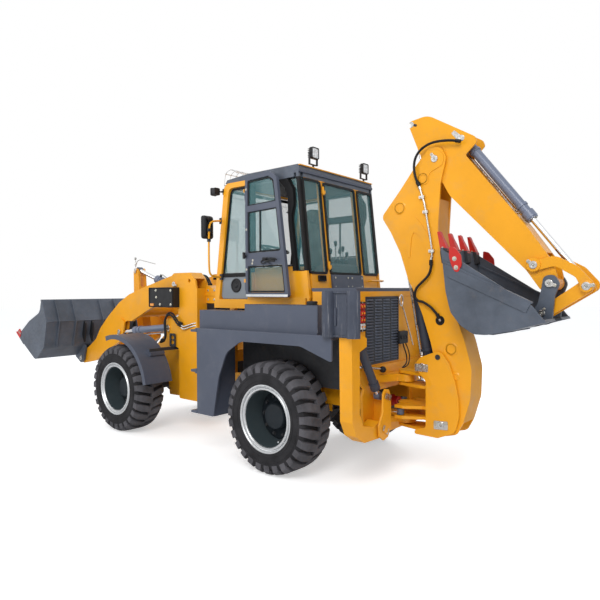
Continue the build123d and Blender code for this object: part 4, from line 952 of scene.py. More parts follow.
def work_lamps():
    """The two work lamps on the roof: finned square housings that face the rear, on forks."""
    body = "chassis"
    housings, lenses, forks = [], [], []
    for y in (0.400, -0.600):
        outline = rectangle(y - 0.062, 3.345, y + 0.062, 3.470, 0.022)
        housings.append(prism(outline, -0.185, -0.150, "x"))
        housings += [slab_box(-0.152, -0.118, y - 0.050, y + 0.050, 3.362 + k * 0.018, 3.367 + k * 0.018)
                     for k in range(6)]
        housings.append(band(outline, 0.010, -0.194, -0.183, "x"))
        lenses += [turned((-0.184, y + p, 3.4075 + q), (-1, 0, 0),
                          [(-0.004, 0.024), (0.002, 0.024), (0.006, 0.017), (0.008, 0.0)], 20)
                   for p in (-0.026, 0.026) for q in (-0.026, 0.026)]
        lenses.append(prism(rectangle(y - 0.052, 3.355, y + 0.052, 3.460, 0.015), -0.188, -0.184, "x"))
        for side in (-1, 1):
            at = y + side * 0.066
            forks.append(slab_box(-0.170, -0.145, at - 0.003, at + 0.003, 3.285, 3.415))
            forks.append(rod((-0.157, at - side * 0.008, 3.405), (-0.157, at + side * 0.012, 3.405), 0.009, 12))
        forks.append(slab_box(-0.172, -0.143, y - 0.069, y + 0.069, 3.280, 3.287))
        forks.append(rod((-0.157, y, 3.236), (-0.157, y, 3.284), 0.012, 12))
    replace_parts(piece("work_lamp_housings", housings, "black", body, edge=0.002), "lamps")
    piece("work_lamp_lenses", lenses, "clear_lens", body)
    piece("work_lamp_forks", forks, "iron", body)


def front_lamps():
    """The front lamps beside the hoop, and their lenses."""
    body = "chassis"
    front = both_sides(prism(rectangle(0.722, 3.042, 0.808, 3.128, 0.02), 0.996, 1.060, "x"),
                       band(rectangle(0.718, 3.038, 0.812, 3.132, 0.022), 0.012, 1.056, 1.070, "x"))
    piece("front_lamp_bodies", front, "black", body, edge=0.003)
    piece("front_lamp_brackets", both_sides(
        slab_box(0.930, 0.980, 0.690, 0.700, 3.050, 3.120), slab_box(0.945, 1.000, 0.690, 0.730, 3.078, 3.092)),
        "iron", body, edge=0.002)
    piece("front_lamp_lenses", both_sides(turned((1.058, 0.765, 3.085), (1, 0, 0),
          [(0, 0.038), (0.004, 0.037), (0.009, 0.024), (0.011, 0.0)], 28)), "clear_lens", body)


def mirrors():
    """Mirrors: a round-cornered head with a moulded back, on a bent amber tube."""
    body = "chassis"
    rim = rectangle(0.800, 2.520, 0.965, 2.790, 0.035, 5)
    layers = [(1.052, 0.010), (1.058, 0.0), (1.040, 0.0), (1.024, 0.008), (1.012, 0.026), (1.008, 0.045)]
    rings = [laid(inset(rim, max(depth, 1e-4))[1], x, "x") for x, depth in layers]
    n = len(rim)
    shell = (np.concatenate(rings), grid_faces(len(rings), n, close_columns=True).tolist() +
             [list(range(n)), list(range((len(rings) - 1) * n, len(rings) * n))])
    heads = both_sides(shell, *[slab_box(1.003, 1.012, 0.850, 0.915, z, z + 0.010)
                                for z in np.linspace(2.575, 2.735, 5)])
    stalk = [(1.010, 0.700, 2.075), (1.005, 0.800, 2.080), (1.000, 0.878, 2.110), (0.998, 0.898, 2.200),
             (0.998, 0.900, 2.400), (0.998, 0.896, 2.600), (0.998, 0.880, 2.690), (0.998, 0.835, 2.725),
             (1.000, 0.760, 2.738), (1.005, 0.700, 2.745)]
    clamps = both_sides(*[slab_box(0.982, 1.012, 0.882, 0.916, z - 0.018, z + 0.018) for z in (2.50, 2.62)],
                        *[slab_box(0.985, 1.028, 0.690, 0.712, z - 0.035, z + 0.035) for z in (2.078, 2.744)])
    piece("mirror_heads", heads, "black", body)
    piece("mirror_glasses", both_sides(prism(inset(rim, 0.012)[1], 1.0525, 1.0545, "x")), "mirror", body)
    piece("mirror_stalks", both_sides(tube(smooth_path(stalk, 6), 0.0115, 12)), "yellow", body)
    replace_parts(piece("mirror_clamps", clamps, "iron", body, edge=0.002), "mirrors")


def wire_guard():
    """The wire guard over the top of the windscreen."""
    body = "chassis"
    arch = ((1.045, 2.985), (1.085, 3.060), (1.095, 3.200), (1.070, 3.330), (0.985, 3.372), (0.890, 3.330),
            (0.850, 3.225))
    wires = [tube(smooth_path([(x, y, z) for x, z in arch], 4), 0.0035, 8) for y in np.linspace(-0.56, 0.56, 14)]
    wires += [tube([(x, y, z) for y in (-0.575, -0.2, 0.2, 0.575)], 0.0045, 8) for x, z in arch[1:-1]]
    piece("wire_guard", wires, "silver", body)
    feet = both_sides(slab_box(0.838, 0.862, 0.540, 0.580, 3.195, 3.240),
                      slab_box(1.020, 1.060, 0.540, 0.580, 2.975, 2.992))
    piece("wire_guard_feet", feet, "iron", body)


def wiper_arm():
    """The wiper: motor cap, arm, and the blade with its holder, which follow the leaning windscreen."""
    body = "chassis"
    wiper = [turned((screen(2.02) - 0.01, 0.50, 2.02), (1, 0, 0.14),
                    [(0, 0.026), (0.02, 0.026), (0.028, 0.018), (0.030, 0.0)], 20),
             tube([(screen(2.02) + 0.012, 0.500, 2.02), (screen(2.2) + 0.016, 0.548, 2.20),
                   (screen(2.4) + 0.012, 0.600, 2.40)], 0.006, 8),
             tube([(screen(2.16) + 0.003, 0.602, 2.16), (screen(2.4) + 0.005, 0.604, 2.40),
                   (screen(2.64) + 0.003, 0.606, 2.64)], 0.007, 6),
             slab_box(screen(2.4), screen(2.4) + 0.02, 0.592, 0.614, 2.38, 2.42)]
    piece("wiper", wiper, "black", body)


def roof_edges():
    """The roof's amber rear edge, its gutter, the hinges of the rear window and the grab rail."""
    body = "chassis"
    edge = [tube([(-0.213, -0.700, 3.231), (-0.213, -0.2, 3.233), (-0.213, 0.2, 3.233), (-0.213, 0.700, 3.231)],
                 0.007, 10)]
    edge += both_sides(tube([(-0.205, 0.7005, 3.229), (0.20, 0.7005, 3.229), (0.535, 0.7005, 3.229)], 0.006, 10))
    piece("roof_edge_strips", edge, "yellow", body)
    gutter = both_sides(prism(rounded([(-0.21, 3.150), (0.90, 3.150), (0.88, 3.176), (-0.21, 3.176)], 0.008),
                              0.7005, 0.7075))
    gutter += [slab_box(-0.222, -0.208, -0.70, 0.70, 3.155, 3.180)]
    piece("roof_gutter", gutter, "grey", body, edge=0.002)
    hinges = []
    for x, z in ((-0.2395, 3.0), (-0.3215, 2.18)):
        hinges += [rod((x - 0.006, 0.332, z - 0.045), (x + 0.003, 0.332, z + 0.045), 0.012, 16),
                   slab_box(x - 0.010, x + 0.012, 0.300, 0.352, z - 0.030, z + 0.006)]
    piece("rear_window_hinges", hinges, "yellow", body, edge=0.002)
    rail = tube(smooth_path([(-0.338, -0.409, 2.015), (-0.375, -0.415, 2.022), (-0.380, -0.46, 2.024),
                             (-0.380, -0.58, 2.026), (-0.380, -0.66, 2.026), (-0.375, -0.695, 2.024),
                             (-0.338, -0.700, 2.018)], 6), 0.010, 12)
    piece("grab_rail", [rail], "yellow", body)


class BACKHOE_OT_cab_fittings(bpy.types.Operator):
    """Makes the lamps, mirrors, wiper, wire guard, rails and hinges on the cab"""

    bl_idname = "backhoe.cab_fittings"
    bl_label = "Cab Fittings"

    def execute(self, context):
        work_lamps()
        front_lamps()
        mirrors()
        wire_guard()
        wiper_arm()
        roof_edges()
        return {"FINISHED"}


class BACKHOE_OT_seat(bpy.types.Operator):
    """Makes the driver's seat, the steering wheel on its column, the dash and the levers on their console"""

    bl_idname = "backhoe.seat"
    bl_label = "Seat and Controls"

    def execute(self, context):
        body = "chassis"
        seat = cushion("seat_base_cushion", (0.44, 0.46, 0.105), 0.25, (-0.62, 0.62), 0, (0.335, 0, 2.165), "cloth")
        cushion("seat_back_cushion", (0.60, 0.46, 0.105), 0.22, (-0.62, 0.62), 84, (0.130, 0, 2.490), "film")
        cushion("seat_head_cushion", (0.085, 0.30, 0.15), 0.2, (), 0, (0.115, 0, 2.775), "film")
        frame_parts = [prism(rounded([(0.20, 1.755), (0.48, 1.755), (0.46, 1.90), (0.50, 2.02), (0.50, 2.085),
                                      (0.16, 2.085), (0.18, 1.90)], 0.02), -0.15, 0.15),
                       slab_box(0.13, 0.54, -0.215, 0.215, 2.085, 2.112)]
        frame_parts += [slab_box(0.195, 0.505, -0.165, 0.165, 1.90 + k * 0.034, 1.912 + k * 0.034) for k in range(5)]
        piece("seat_stand", frame_parts, "black", body, edge=0.004)
        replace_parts(seat, "seat")
        # steering wheel on its column, in front of the seat
        centre = np.array([0.795, 0, 2.436])
        axis = np.array([-0.3, 0, 0.95]) / np.linalg.norm([-0.3, 0, 0.95])
        _, u, v = frame_at(axis)
        a = np.linspace(0, 2 * np.pi, 12, endpoint=False)
        grip = np.stack([0.0145 * np.sin(a), 0.184 + 0.0145 * np.cos(a)], 1).tolist()
        wheel = [ring(centre, axis, grip, 48)]
        hub = centre - axis * 0.03
        for k in range(3):
            a = math.radians(90 + 120 * k)
            spoke = math.cos(a) * u + math.sin(a) * v
            wheel.append(tube([hub + axis * 0.012, hub + axis * 0.018 + spoke * 0.09, centre + spoke * 0.178], 0.0105,
                              10))
        wheel.append(turned(hub, axis, [(-0.02, 0.030), (0.0, 0.044), (0.018, 0.044), (0.028, 0.034), (0.030, 0.0)],
                            32))
        wheel.append(turned(hub, -axis, [(0.01, 0.026), (0.10, 0.030), (0.30, 0.036), (0.345, 0.050)], 24))
        piece("steering_wheel", wheel, "black", body)
        dash = [prism(rounded([(0.862, 1.752), (1.038, 1.752), (1.038, 2.02), (0.985, 2.148), (0.90, 2.148),
                               (0.862, 2.08)], 0.03), -0.25, 0.25)]
        column = piece("steering_dash", dash, "lining", body, edge=0.006)
        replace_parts(column, "steering_console")
        dials = [turned((0.884, y, 2.118), (-0.5, 0, 0.85),
                        [(0, 0.034), (0.010, 0.034), (0.013, 0.030), (0.009, 0.028), (0.009, 0.0)], 24)
                 for y in (-0.15, -0.06, 0.06, 0.15)]
        piece("dash_dials", dials, "black", body)
        # rear console behind the driver, with levers in their boots
        consoles = [prism(rounded([(-0.285, 2.075), (-0.08, 2.075), (-0.09, 2.175), (-0.20, 2.215), (-0.275, 2.205)],
                                  0.02), -0.29, 0.29)]
        piece("rear_console", consoles, "lining", body, edge=0.006)
        boots, levers, knobs = [], [], []
        for y, lean, high in ((0.02, 0.05, 2.44), (-0.05, -0.02, 2.36), (-0.12, 0.03, 2.39), (-0.19, -0.03, 2.33),
                              (0.12, 0.02, 2.35)):
            foot, top = np.array([-0.185, y, 2.20]), np.array([-0.185 - lean * 0.6, y + lean, high])
            way = (top - foot) / np.linalg.norm(top - foot)
            boots.append(turned(foot, way,
                                [(0, 0.030), (0.010, 0.030), (0.016, 0.024), (0.022, 0.027), (0.030, 0.020),
                                 (0.037, 0.023), (0.045, 0.016), (0.052, 0.018), (0.062, 0.010), (0.07, 0.007)], 16))
            levers.append(rod(foot + way * 0.05, top, 0.006, 10))
            knobs.append(turned(top, way,
                                [(-0.03, 0.009), (-0.015, 0.017), (0.010, 0.020), (0.030, 0.016), (0.038, 0.0)], 16))
        piece("lever_boots", boots, "seal", body)
        piece("levers", levers, "steel", body)
        piece("lever_knobs", knobs, "black", body)
        stack = [rod((0.575, 0.43, 2.02), (0.56, 0.44, 2.36), 0.009, 12),
                 turned((0.56, 0.44, 2.36), (-0.1, 0.1, 1),
                        [(-0.02, 0.012), (0.0, 0.02), (0.03, 0.022), (0.045, 0.0)], 16)]
        piece("loader_lever", stack, "black", body)
        return {"FINISHED"}


def bucket_edges():
    """Ribs that follow the bucket's back, a bar on its top edge, its cutters and bolts."""
    bucket = "loader_bucket"
    back = [(4.742, 1.036), (4.634, 1.440), (4.784, 1.778), (4.760, 1.790), (4.606, 1.442), (4.715, 1.025)]
    ribs = both_sides(*[prism(back, y - 0.009, y + 0.009) for y in (0.14, 0.62, 0.90)])
    ribs += [prism(rounded([(4.772, 1.735), (4.800, 1.790), (4.838, 1.790), (4.838, 1.764), (4.818, 1.735)],
                           0.008), -1.098, 1.098)]
    ribs += [prism([(4.645, 1.428), (4.640, 1.452), (4.628, 1.440)], -1.095, 1.095)]
    piece("bucket_ribs", ribs, "slate", bucket, edge=0.002)
    brackets = both_sides(*[prism(rounded([(4.632, 1.06), (4.600, 1.20), (4.590, 1.40), (4.636, 1.440),
                                           (4.700, 1.20)], 0.03), y - 0.010, y + 0.010) for y in (0.345, 0.475)])
    piece("bucket_brackets", brackets, "black", bucket, edge=0.002)
    wear = both_sides(prism(rounded([(5.540, 1.250), (5.585, 1.150), (5.715, 1.225), (5.600, 1.300)], 0.02),
                            1.098, 1.108))
    piece("bucket_side_cutters", wear, "red", bucket, edge=0.002)
    bolts = side_bolts(((5.58, 1.22), (5.62, 1.24)), 1.106, 0.012, 0.0015)
    edge_bolts = [hexagon_head((5.500, y + d, 1.062), (0.5, 0, -0.86), 0.013, 0.010)
                  for y in np.linspace(-1.0625, 1.0625, 8) for d in (-0.02, 0.02)]
    piece("bucket_bolts", bolts + edge_bolts, "bolt", bucket)


def loader_pins():
    """The pin ends of the loader, and the rod that shows its level."""
    pins("bucket_hinge", "loader_bucket", [(4.850, 0.430, 0.790, 130)])
    pins("tower", "front_frame", [(2.240, 0.467, 2.010, 200), (2.380, 0.467, 1.410, 250)])
    pins("crank", "lift_arm", [(3.720, 0.110, 1.720, 160)])
    pins("lift_eye", "lift_arm", [(3.690, 0.420, 1.290, 300)], 0.034)
    pins("crank_ends", "bell_crank", [(3.745, 0.084, 2.255, 270), (3.560, 0.084, 1.105, 90)], 0.030)
    pins("tilt_link", "tilt_link", [(4.676, 0.084, 1.058, 30)])
    pins("tilt_base", "front_frame", [(2.250, 0.098, 1.770, 180)])
    # pointer rod and knob of the bucket's level on the crank
    bent = [(3.745, 0.078, 2.300), (3.68, 0.09, 2.385), (3.60, 0.105, 2.408), (3.571, 0.110, 2.410)]
    pointer = [rod((3.571, 0.110, 2.410), (3.166, 0.110, 2.333), 0.006, 10),
               turned((3.780, 0.060, 2.330), (-0.05, 0, 1),
                      [(0, 0.016), (0.03, 0.016), (0.05, 0.008), (0.09, 0.008), (0.10, 0.020), (0.125, 0.020),
                       (0.135, 0.0)], 20), tube(smooth_path(bent, 5), 0.006, 8)]
    piece("level_pointer", pointer, "steel", "bell_crank")


def loader_rams(sizes):
    """Bands, ports and steel pipes on the tilt ram and the lift rams, along the rams' own lines."""
    body = "tilt_ram_barrel"
    base, _, way = ram_line("tilt_ram")
    up = np.array([-way[2], 0, way[0]])
    bands = ram_bands("tilt_ram", 1, 0.056, 0.068, ((0.12, 0.03), (0.52, 0.022), (0.94, 0.02)))
    piece("tilt_ram_bands", bands, "ram_pale", body)
    ports = [turned(base + way * at + up * 0.050, up,
                    [(0, 0.018), (0.030, 0.018), (0.032, 0.014), (0.050, 0.014), (0.052, 0.0)], 16)
             for at in (0.16, 1.00)]
    line = [base + way * at + up * h for at, h in
            ((1.00, 0.094), (0.95, 0.102), (0.80, 0.085), (0.50, 0.082), (0.25, 0.085), (0.16, 0.098))]
    piece("tilt_ram_ports", ports, "iron", body)
    piece("tilt_ram_pipe", [tube(smooth_path(line, 6), sizes.pipe, 10)], "steel", body)
    # lift rams: bands, ports, a pipe along each barrel
    body = "lift_ram_barrels"
    for side, label in ((1, "left"), (-1, "right")):
        base, _, way = ram_line("lift_ram", side)
        bands = ram_bands("lift_ram", side, 0.048, 0.060, ((0.12, 0.03), (0.80, 0.03)))
        piece("lift_ram_bands_" + label, bands, "ram_pale", body)
        ports = [turned(base + way * at - [0, 0, 0.045], (0, 0, -1),
                        [(0, 0.016), (0.03, 0.016), (0.032, 0.012), (0.05, 0.012), (0.052, 0.0)], 14)
                 for at in (0.15, 0.92)]
        piece("lift_ram_ports_" + label, ports, "brass", body)
        line = [base + way * at - [0, 0, drop] for at, drop in
                ((0.92, 0.09), (0.88, 0.100), (0.70, 0.075), (0.40, 0.072), (0.20, 0.080), (0.15, 0.095))]
        piece("lift_ram_pipe_" + label, [tube(smooth_path(line, 6), sizes.pipe * 0.8, 10)], "steel", body)


def head_lamps():
    """Head lamps: bezel, domed lens and a side marker, and the bolts of their boxes."""
    bezel = [(0, 0.056), (0.008, 0.056), (0.012, 0.050), (0.012, 0.046), (0.002, 0.046)]
    dome = [(0, 0.047), (0.006, 0.046), (0.014, 0.032), (0.017, 0.0)]
    heights = (1.895, 1.760)
    bezels = both_sides(*[turned((2.676, 0.510, z), (1, 0, 0), bezel) for z in heights])
    lenses = both_sides(*[turned((2.674, 0.510, z), (1, 0, 0), dome) for z in heights])
    markers = both_sides(prism(rectangle(2.560, 1.705, 2.640, 1.745, 0.012), 0.563, 0.574))
    bolts = side_bolts(((2.516, 1.923), (2.506, 1.829), (2.18, 1.92), (2.18, 1.73), (2.42, 1.73)),
                       0.565, 0.013, 0.011)
    rims = both_sides(band(rectangle(2.134, 1.694, 2.676, 1.961, 0.012), 0.014, 0.560, 0.572))
    piece("head_lamp_bezels", bezels + rims, "black", "front_frame", edge=0.0015)
    piece("head_lamp_lenses", lenses, "clear_lens", "front_frame")
    piece("side_markers", markers, "amber_lens", "front_frame")
    piece("head_lamp_bolts", bolts, "bolt", "front_frame")


def loader_hoses(sizes):
    """Hoses of the lift rams with the pipes they meet, four hoses that bend over the centre hinge, and the hoses
    of the tilt ram."""
    r = sizes.hose
    loop = [(2.484, 0.50, 1.233), (2.396, 0.50, 1.258), (2.383, 0.50, 1.364), (2.392, 0.50, 1.497),
            (2.358, 0.50, 1.578), (2.293, 0.50, 1.616), (2.218, 0.50, 1.601), (2.166, 0.50, 1.556),
            (2.104, 0.50, 1.500), (2.049, 0.48, 1.469)]
    lines = paired(loop, (0.02, 0, -0.03))
    piece("lift_hoses", sum([hose(line, r) for line in lines], []), "hose", "front_frame")
    pipe_a = [(2.075, 0.48, 1.467), (2.018, 0.48, 1.437), (1.930, 0.47, 1.455), (1.836, 0.46, 1.482),
              (1.770, 0.44, 1.490)]
    pipes = [tube(smooth_path(line, 6), sizes.pipe, 10) for line in paired(pipe_a, (0, 0, -0.035))]
    piece("tower_pipes", pipes, "steel", "front_frame")
    crossing = [(1.765, 0.10, 1.60), (1.700, 0.16, 1.66), (1.600, 0.20, 1.62), (1.500, 0.22, 1.54),
                (1.400, 0.22, 1.50), (1.300, 0.22, 1.48), (1.200, 0.24, 1.50), (1.120, 0.26, 1.56)]
    for k, letter in enumerate("abcd"):
        path = np.array(crossing) * [1, (1, -1)[k % 2], 1] + [0, 0.03 * (k // 2), -0.06 * (k // 2)]
        piece("crossing_hose_" + letter, [tube(smooth_path(path, 8), r, 12)], "hose",
              ("front_frame", "chassis", (1.62 + AXLE_X, 0, 1.55), (1.20 + AXLE_X, 0, 1.5)))
    loops = [(2.134, 0.20, 2.087), (2.031, 0.20, 2.120), (1.909, 0.20, 2.125), (1.830, 0.20, 2.085),
             (1.780, 0.20, 2.010), (1.765, 0.20, 1.960)]
    piece("tilt_hoses", sum([hose(line, r) for line in paired(loops, (0, 0.035, 0))], []), "hose", "front_frame")
    cover_bolts = side_bolts([(x, z) for x in (1.60, 1.72) for z in (1.80, 1.92)], 0.300, 0.011, 0.009)
    piece("cover_bolts", cover_bolts, "bolt", "front_frame")


def tower_fittings():
    """A framed bracket with six studs on each side of the tower, and the plates and ports of the valve block."""
    stud = [(0, 0.018), (0.010, 0.018), (0.012, 0.012), (0.012, 0.0)]
    plate = both_sides(band(rectangle(2.200, 1.150, 2.330, 1.330, 0.02), 0.030, 0.470, 0.480),
                       *[turned((x, 0.474, z), (0, 1, 0), stud, 16)
                         for x in (2.235, 2.295) for z in (1.175, 1.245, 1.315)])
    piece("tower_brackets", plate, "iron", "front_frame", edge=0.001)
    port = [(-0.01, 0.022), (0.02, 0.022), (0.024, 0.014), (0.05, 0.014), (0.052, 0.0)]
    valves = [slab_box(1.60 + 0.032 * k, 1.624 + 0.032 * k, -0.20, 0.24, 1.746, 1.760) for k in range(4)]
    valves += [turned((1.575, -0.18 + 0.075 * k, z), (-1, 0, 0), port, 14) for k in range(6) for z in (1.56, 1.66)]
    piece("valve_ports", valves, "iron", "front_frame")


class BACKHOE_OT_loader_details(bpy.types.Operator):
    """Makes the bucket's ribs and edges, the pin ends, ram bands, lamps, pipes and hoses of the loader"""

    bl_idname = "backhoe.loader_details"
    bl_label = "Loader Details"

    def execute(self, context):
        bucket_edges()
        loader_pins()
        loader_rams(context.scene.loader_sizes)
        head_lamps()
        loader_hoses(context.scene.loader_sizes)
        tower_fittings()
        return {"FINISHED"}


def tooth(root, tip):
    """A tooth from its root to its tip: a rounded rectangle that narrows along the line between them."""
    t = np.linspace(0, 1, 7)[:, None]
    spine = np.array(root) * (1 - t) + np.array(tip) * t
    way = (spine[-1] - spine[0]) / np.linalg.norm(spine[-1] - spine[0])
    square = np.array([way[2], 0, -way[0]])
    wide = np.interp(t, [0, 0.35, 1], [0.034, 0.031, 0.013])
    deep = np.interp(t, [0, 0.35, 1], [0.034, 0.027, 0.009])
    section = [(-1, -1), (-0.75, -1), (0.75, -1), (1, -1), (1, 1), (0.75, 1), (-0.75, 1), (-1, 1)]
    rings = np.stack([spine + wide * u * [0, 1, 0] + deep * v * square for u, v in section], 1)
    return rings.reshape(-1, 3), grid_faces(7, 8, close_columns=True).tolist() + [list(range(8)), list(range(48, 56))]


# Half the outer widths of the kingpost, the boom and the dipper
KINGPOST_HALF, BOOM_HALF, DIPPER_HALF = 0.166, 0.135, 0.108


def boom_bosses():
    """Bosses, doublers and ring welds of the boom."""
    bosses = [boss(x, BOOM_HALF, z, side, radius, 0.008) for side in (1, -1) for x, z, radius in
              ((-1.078, 2.748, 0.058), (-1.336, 3.015, 0.055), (-1.634, 1.341, 0.055), (-1.677, 1.082, 0.035))]
    doubler = [(-1.165, 2.240), (-1.140, 2.420), (-1.145, 2.575), (-1.185, 2.640), (-1.246, 2.645),
               (-1.302, 2.594), (-1.385, 2.470), (-1.440, 2.330), (-1.452, 2.180), (-1.415, 2.180),
               (-1.360, 2.330), (-1.300, 2.450), (-1.235, 2.500), (-1.205, 2.420), (-1.195, 2.240)]
    bosses += side_plate([(-1.40, 3.06), (-1.545, 3.12), (-1.560, 3.21), (-1.500, 3.275), (-1.405, 3.285),
                          (-1.300, 3.150), (-1.300, 3.02), (-1.33, 2.95), (-1.39, 2.96)], 0.05, BOOM_HALF, 0.006)
    bosses += side_plate(doubler, 0.035, BOOM_HALF, 0.007)
    piece("boom_bosses", bosses, "yellow", "boom", edge=0.003)
    pins("boom", "boom", [(-1.460, 0.143, 3.190, 60)])
    # ring welds round the bosses, in the darker amber: painted shade at the bosses' feet
    rings = both_sides(*[ring((x, BOOM_HALF, z), (0, 1, 0),
                              [(0.004, r + 0.007), (0.011, r + 0.006), (0.011, r), (0.004, r - 0.001)], 32)
                         for x, z, r in ((-1.078, 2.748, 0.048), (-1.336, 3.015, 0.045), (-1.634, 1.341, 0.045))])
    piece("boom_ring_welds", rings, "deep_yellow", "boom")


def backhoe_pins():
    """The pin ends of the kingpost, the dipper and the bucket, and the plates that lock them."""
    pins("kingpost", "kingpost", [(-1.540, 0.174, 0.600, 0), (-1.340, 0.174, 1.150, 0)])
    pins("dipper_guide", "dipper", [(-2.385, 0.148, 2.123, 40)])
    flush = both_sides(*[turned((x, DIPPER_HALF, z), (0, 1, 0),
                                [(-0.002, 0.030), (0.002, 0.030), (0.003, 0.026), (0.003, 0.0)], 28)
                         for x, z in ((-1.190, 3.580), (-1.720, 3.350))])
    piece("dipper_pin_faces", flush, "steel", "dipper")
    pins("guide", "guide_links", [(-2.800, 0.141, 1.935, 170)])
    pins("hoe", "backhoe_bucket", [(-2.517, 0.154, 1.961, 200)])
    pins("hoe_ear", "backhoe_bucket", [(-2.460, 0.154, 1.706, 120)], 0.028)
    steel_plates = []
    for outline in ([(-1.262, 1.101), (-1.404, 1.101), (-1.404, 1.176), (-1.262, 1.176)],
                    [(-1.466, 0.549), (-1.612, 0.560), (-1.610, 0.642), (-1.466, 0.632)]):
        steel_plates += side_plate(outline, 0.012, KINGPOST_HALF, 0.007)
    bolts = side_bolts(((-1.285, 1.160), (-1.385, 1.160), (-1.485, 0.618), (-1.592, 0.625)), 0.173, 0.012, 0.010)
    piece("kingpost_lock_plates", steel_plates, "steel", "kingpost", edge=0.001)
    piece("kingpost_bolts", bolts, "bolt", "kingpost")
    hole = turned((-1.505, KINGPOST_HALF, 1.255), (0, 1, 0),
                  [(0, 0.026), (0.005, 0.026), (0.006, 0.020), (0.001, 0.016), (0.001, 0.0)], 24)
    piece("kingpost_hole_rims", both_sides(hole), "iron", "kingpost")
    fin = [(-1.648, 3.438), (-1.618, 3.412), (-1.700, 3.318), (-1.745, 3.350)]
    piece("fin_lock_plates", side_plate(fin, 0.010, DIPPER_HALF, 0.002), "steel", "dipper")
    slot = [(-1.250, 3.548), (-1.180, 3.575), (-1.188, 3.598), (-1.258, 3.571)]
    piece("fin_slots", side_plate(slot, 0.010, DIPPER_HALF, 0.002), "iron", "dipper")


def boom_hoses(sizes):
    """On each side a hose goes from the dipper's foot over the boom's head; a steel pipe carries on down the
    boom, and a second hose from there to a hole in the boom's foot."""
    r = sizes.hose
    head = [(-1.729, 0.150, 3.310), (-1.638, 0.165, 3.331), (-1.534, 0.168, 3.343), (-1.449, 0.168, 3.341),
            (-1.373, 0.168, 3.320), (-1.307, 0.168, 3.276), (-1.268, 0.168, 3.217), (-1.254, 0.168, 3.143),
            (-1.262, 0.166, 3.061), (-1.284, 0.160, 2.987), (-1.307, 0.156, 2.944)]
    pipe = [(-1.299, 0.152, 2.957), (-1.321, 0.150, 2.883), (-1.354, 0.150, 2.779), (-1.371, 0.150, 2.697),
            (-1.392, 0.150, 2.574), (-1.414, 0.150, 2.453), (-1.430, 0.150, 2.352), (-1.439, 0.150, 2.271),
            (-1.432, 0.152, 2.196)]
    low = [(-1.431, 0.155, 2.203), (-1.431, 0.162, 2.120), (-1.403, 0.166, 2.050), (-1.337, 0.168, 1.985),
           (-1.285, 0.168, 1.935), (-1.262, 0.168, 1.883), (-1.265, 0.166, 1.835), (-1.300, 0.164, 1.802),
           (-1.345, 0.164, 1.793), (-1.389, 0.166, 1.770), (-1.441, 0.166, 1.735), (-1.473, 0.164, 1.700),
           (-1.500, 0.158, 1.665), (-1.515, 0.150, 1.630)]
    elbow_joint = ("dipper", "boom", (-1.66 + AXLE_X, 0, 3.34), (-1.30 + AXLE_X, 0, 3.15))
    for side, tag in (([1, 1, 1], "left_a"), ([1, -1, 1], "right_a")):
        piece("boom_hose_" + tag, hose(np.array(head) * side, r), "hose", elbow_joint)
        piece("boom_pipe_" + tag, hose(np.array(pipe) * side, sizes.pipe, 6), "steel", "boom")
        piece("boom_low_hose_" + tag, hose(np.array(low) * side, r), "hose", "boom")
    elbow = both_sides(tube(smooth_path([(-1.515, 0.152, 1.640), (-1.520, 0.150, 1.620), (-1.516, 0.140, 1.612),
                                         (-1.516, 0.128, 1.612)], 5), 0.014, 12))
    clamps = []
    for x, z in ((-1.374, 2.680), (-1.438, 2.292), (-1.335, 2.83)):
        clamps += both_sides(slab_box(x - 0.024, x + 0.030, BOOM_HALF, 0.166, z - 0.014, z + 0.014))
        clamps += side_bolts(((x + 0.018, z),), 0.166, 0.008, 0.009)
    piece("boom_pipe_clamps", clamps + elbow, "steel", "boom", edge=0.002)
    rim = both_sides(turned((-1.516, 0.134, 1.612), (0, 1, 0),
                            [(0, 0.046), (0.006, 0.046), (0.008, 0.040), (0.002, 0.034), (0.002, 0.0)], 28))
    piece("boom_hose_holes", rim, "seal", "boom")


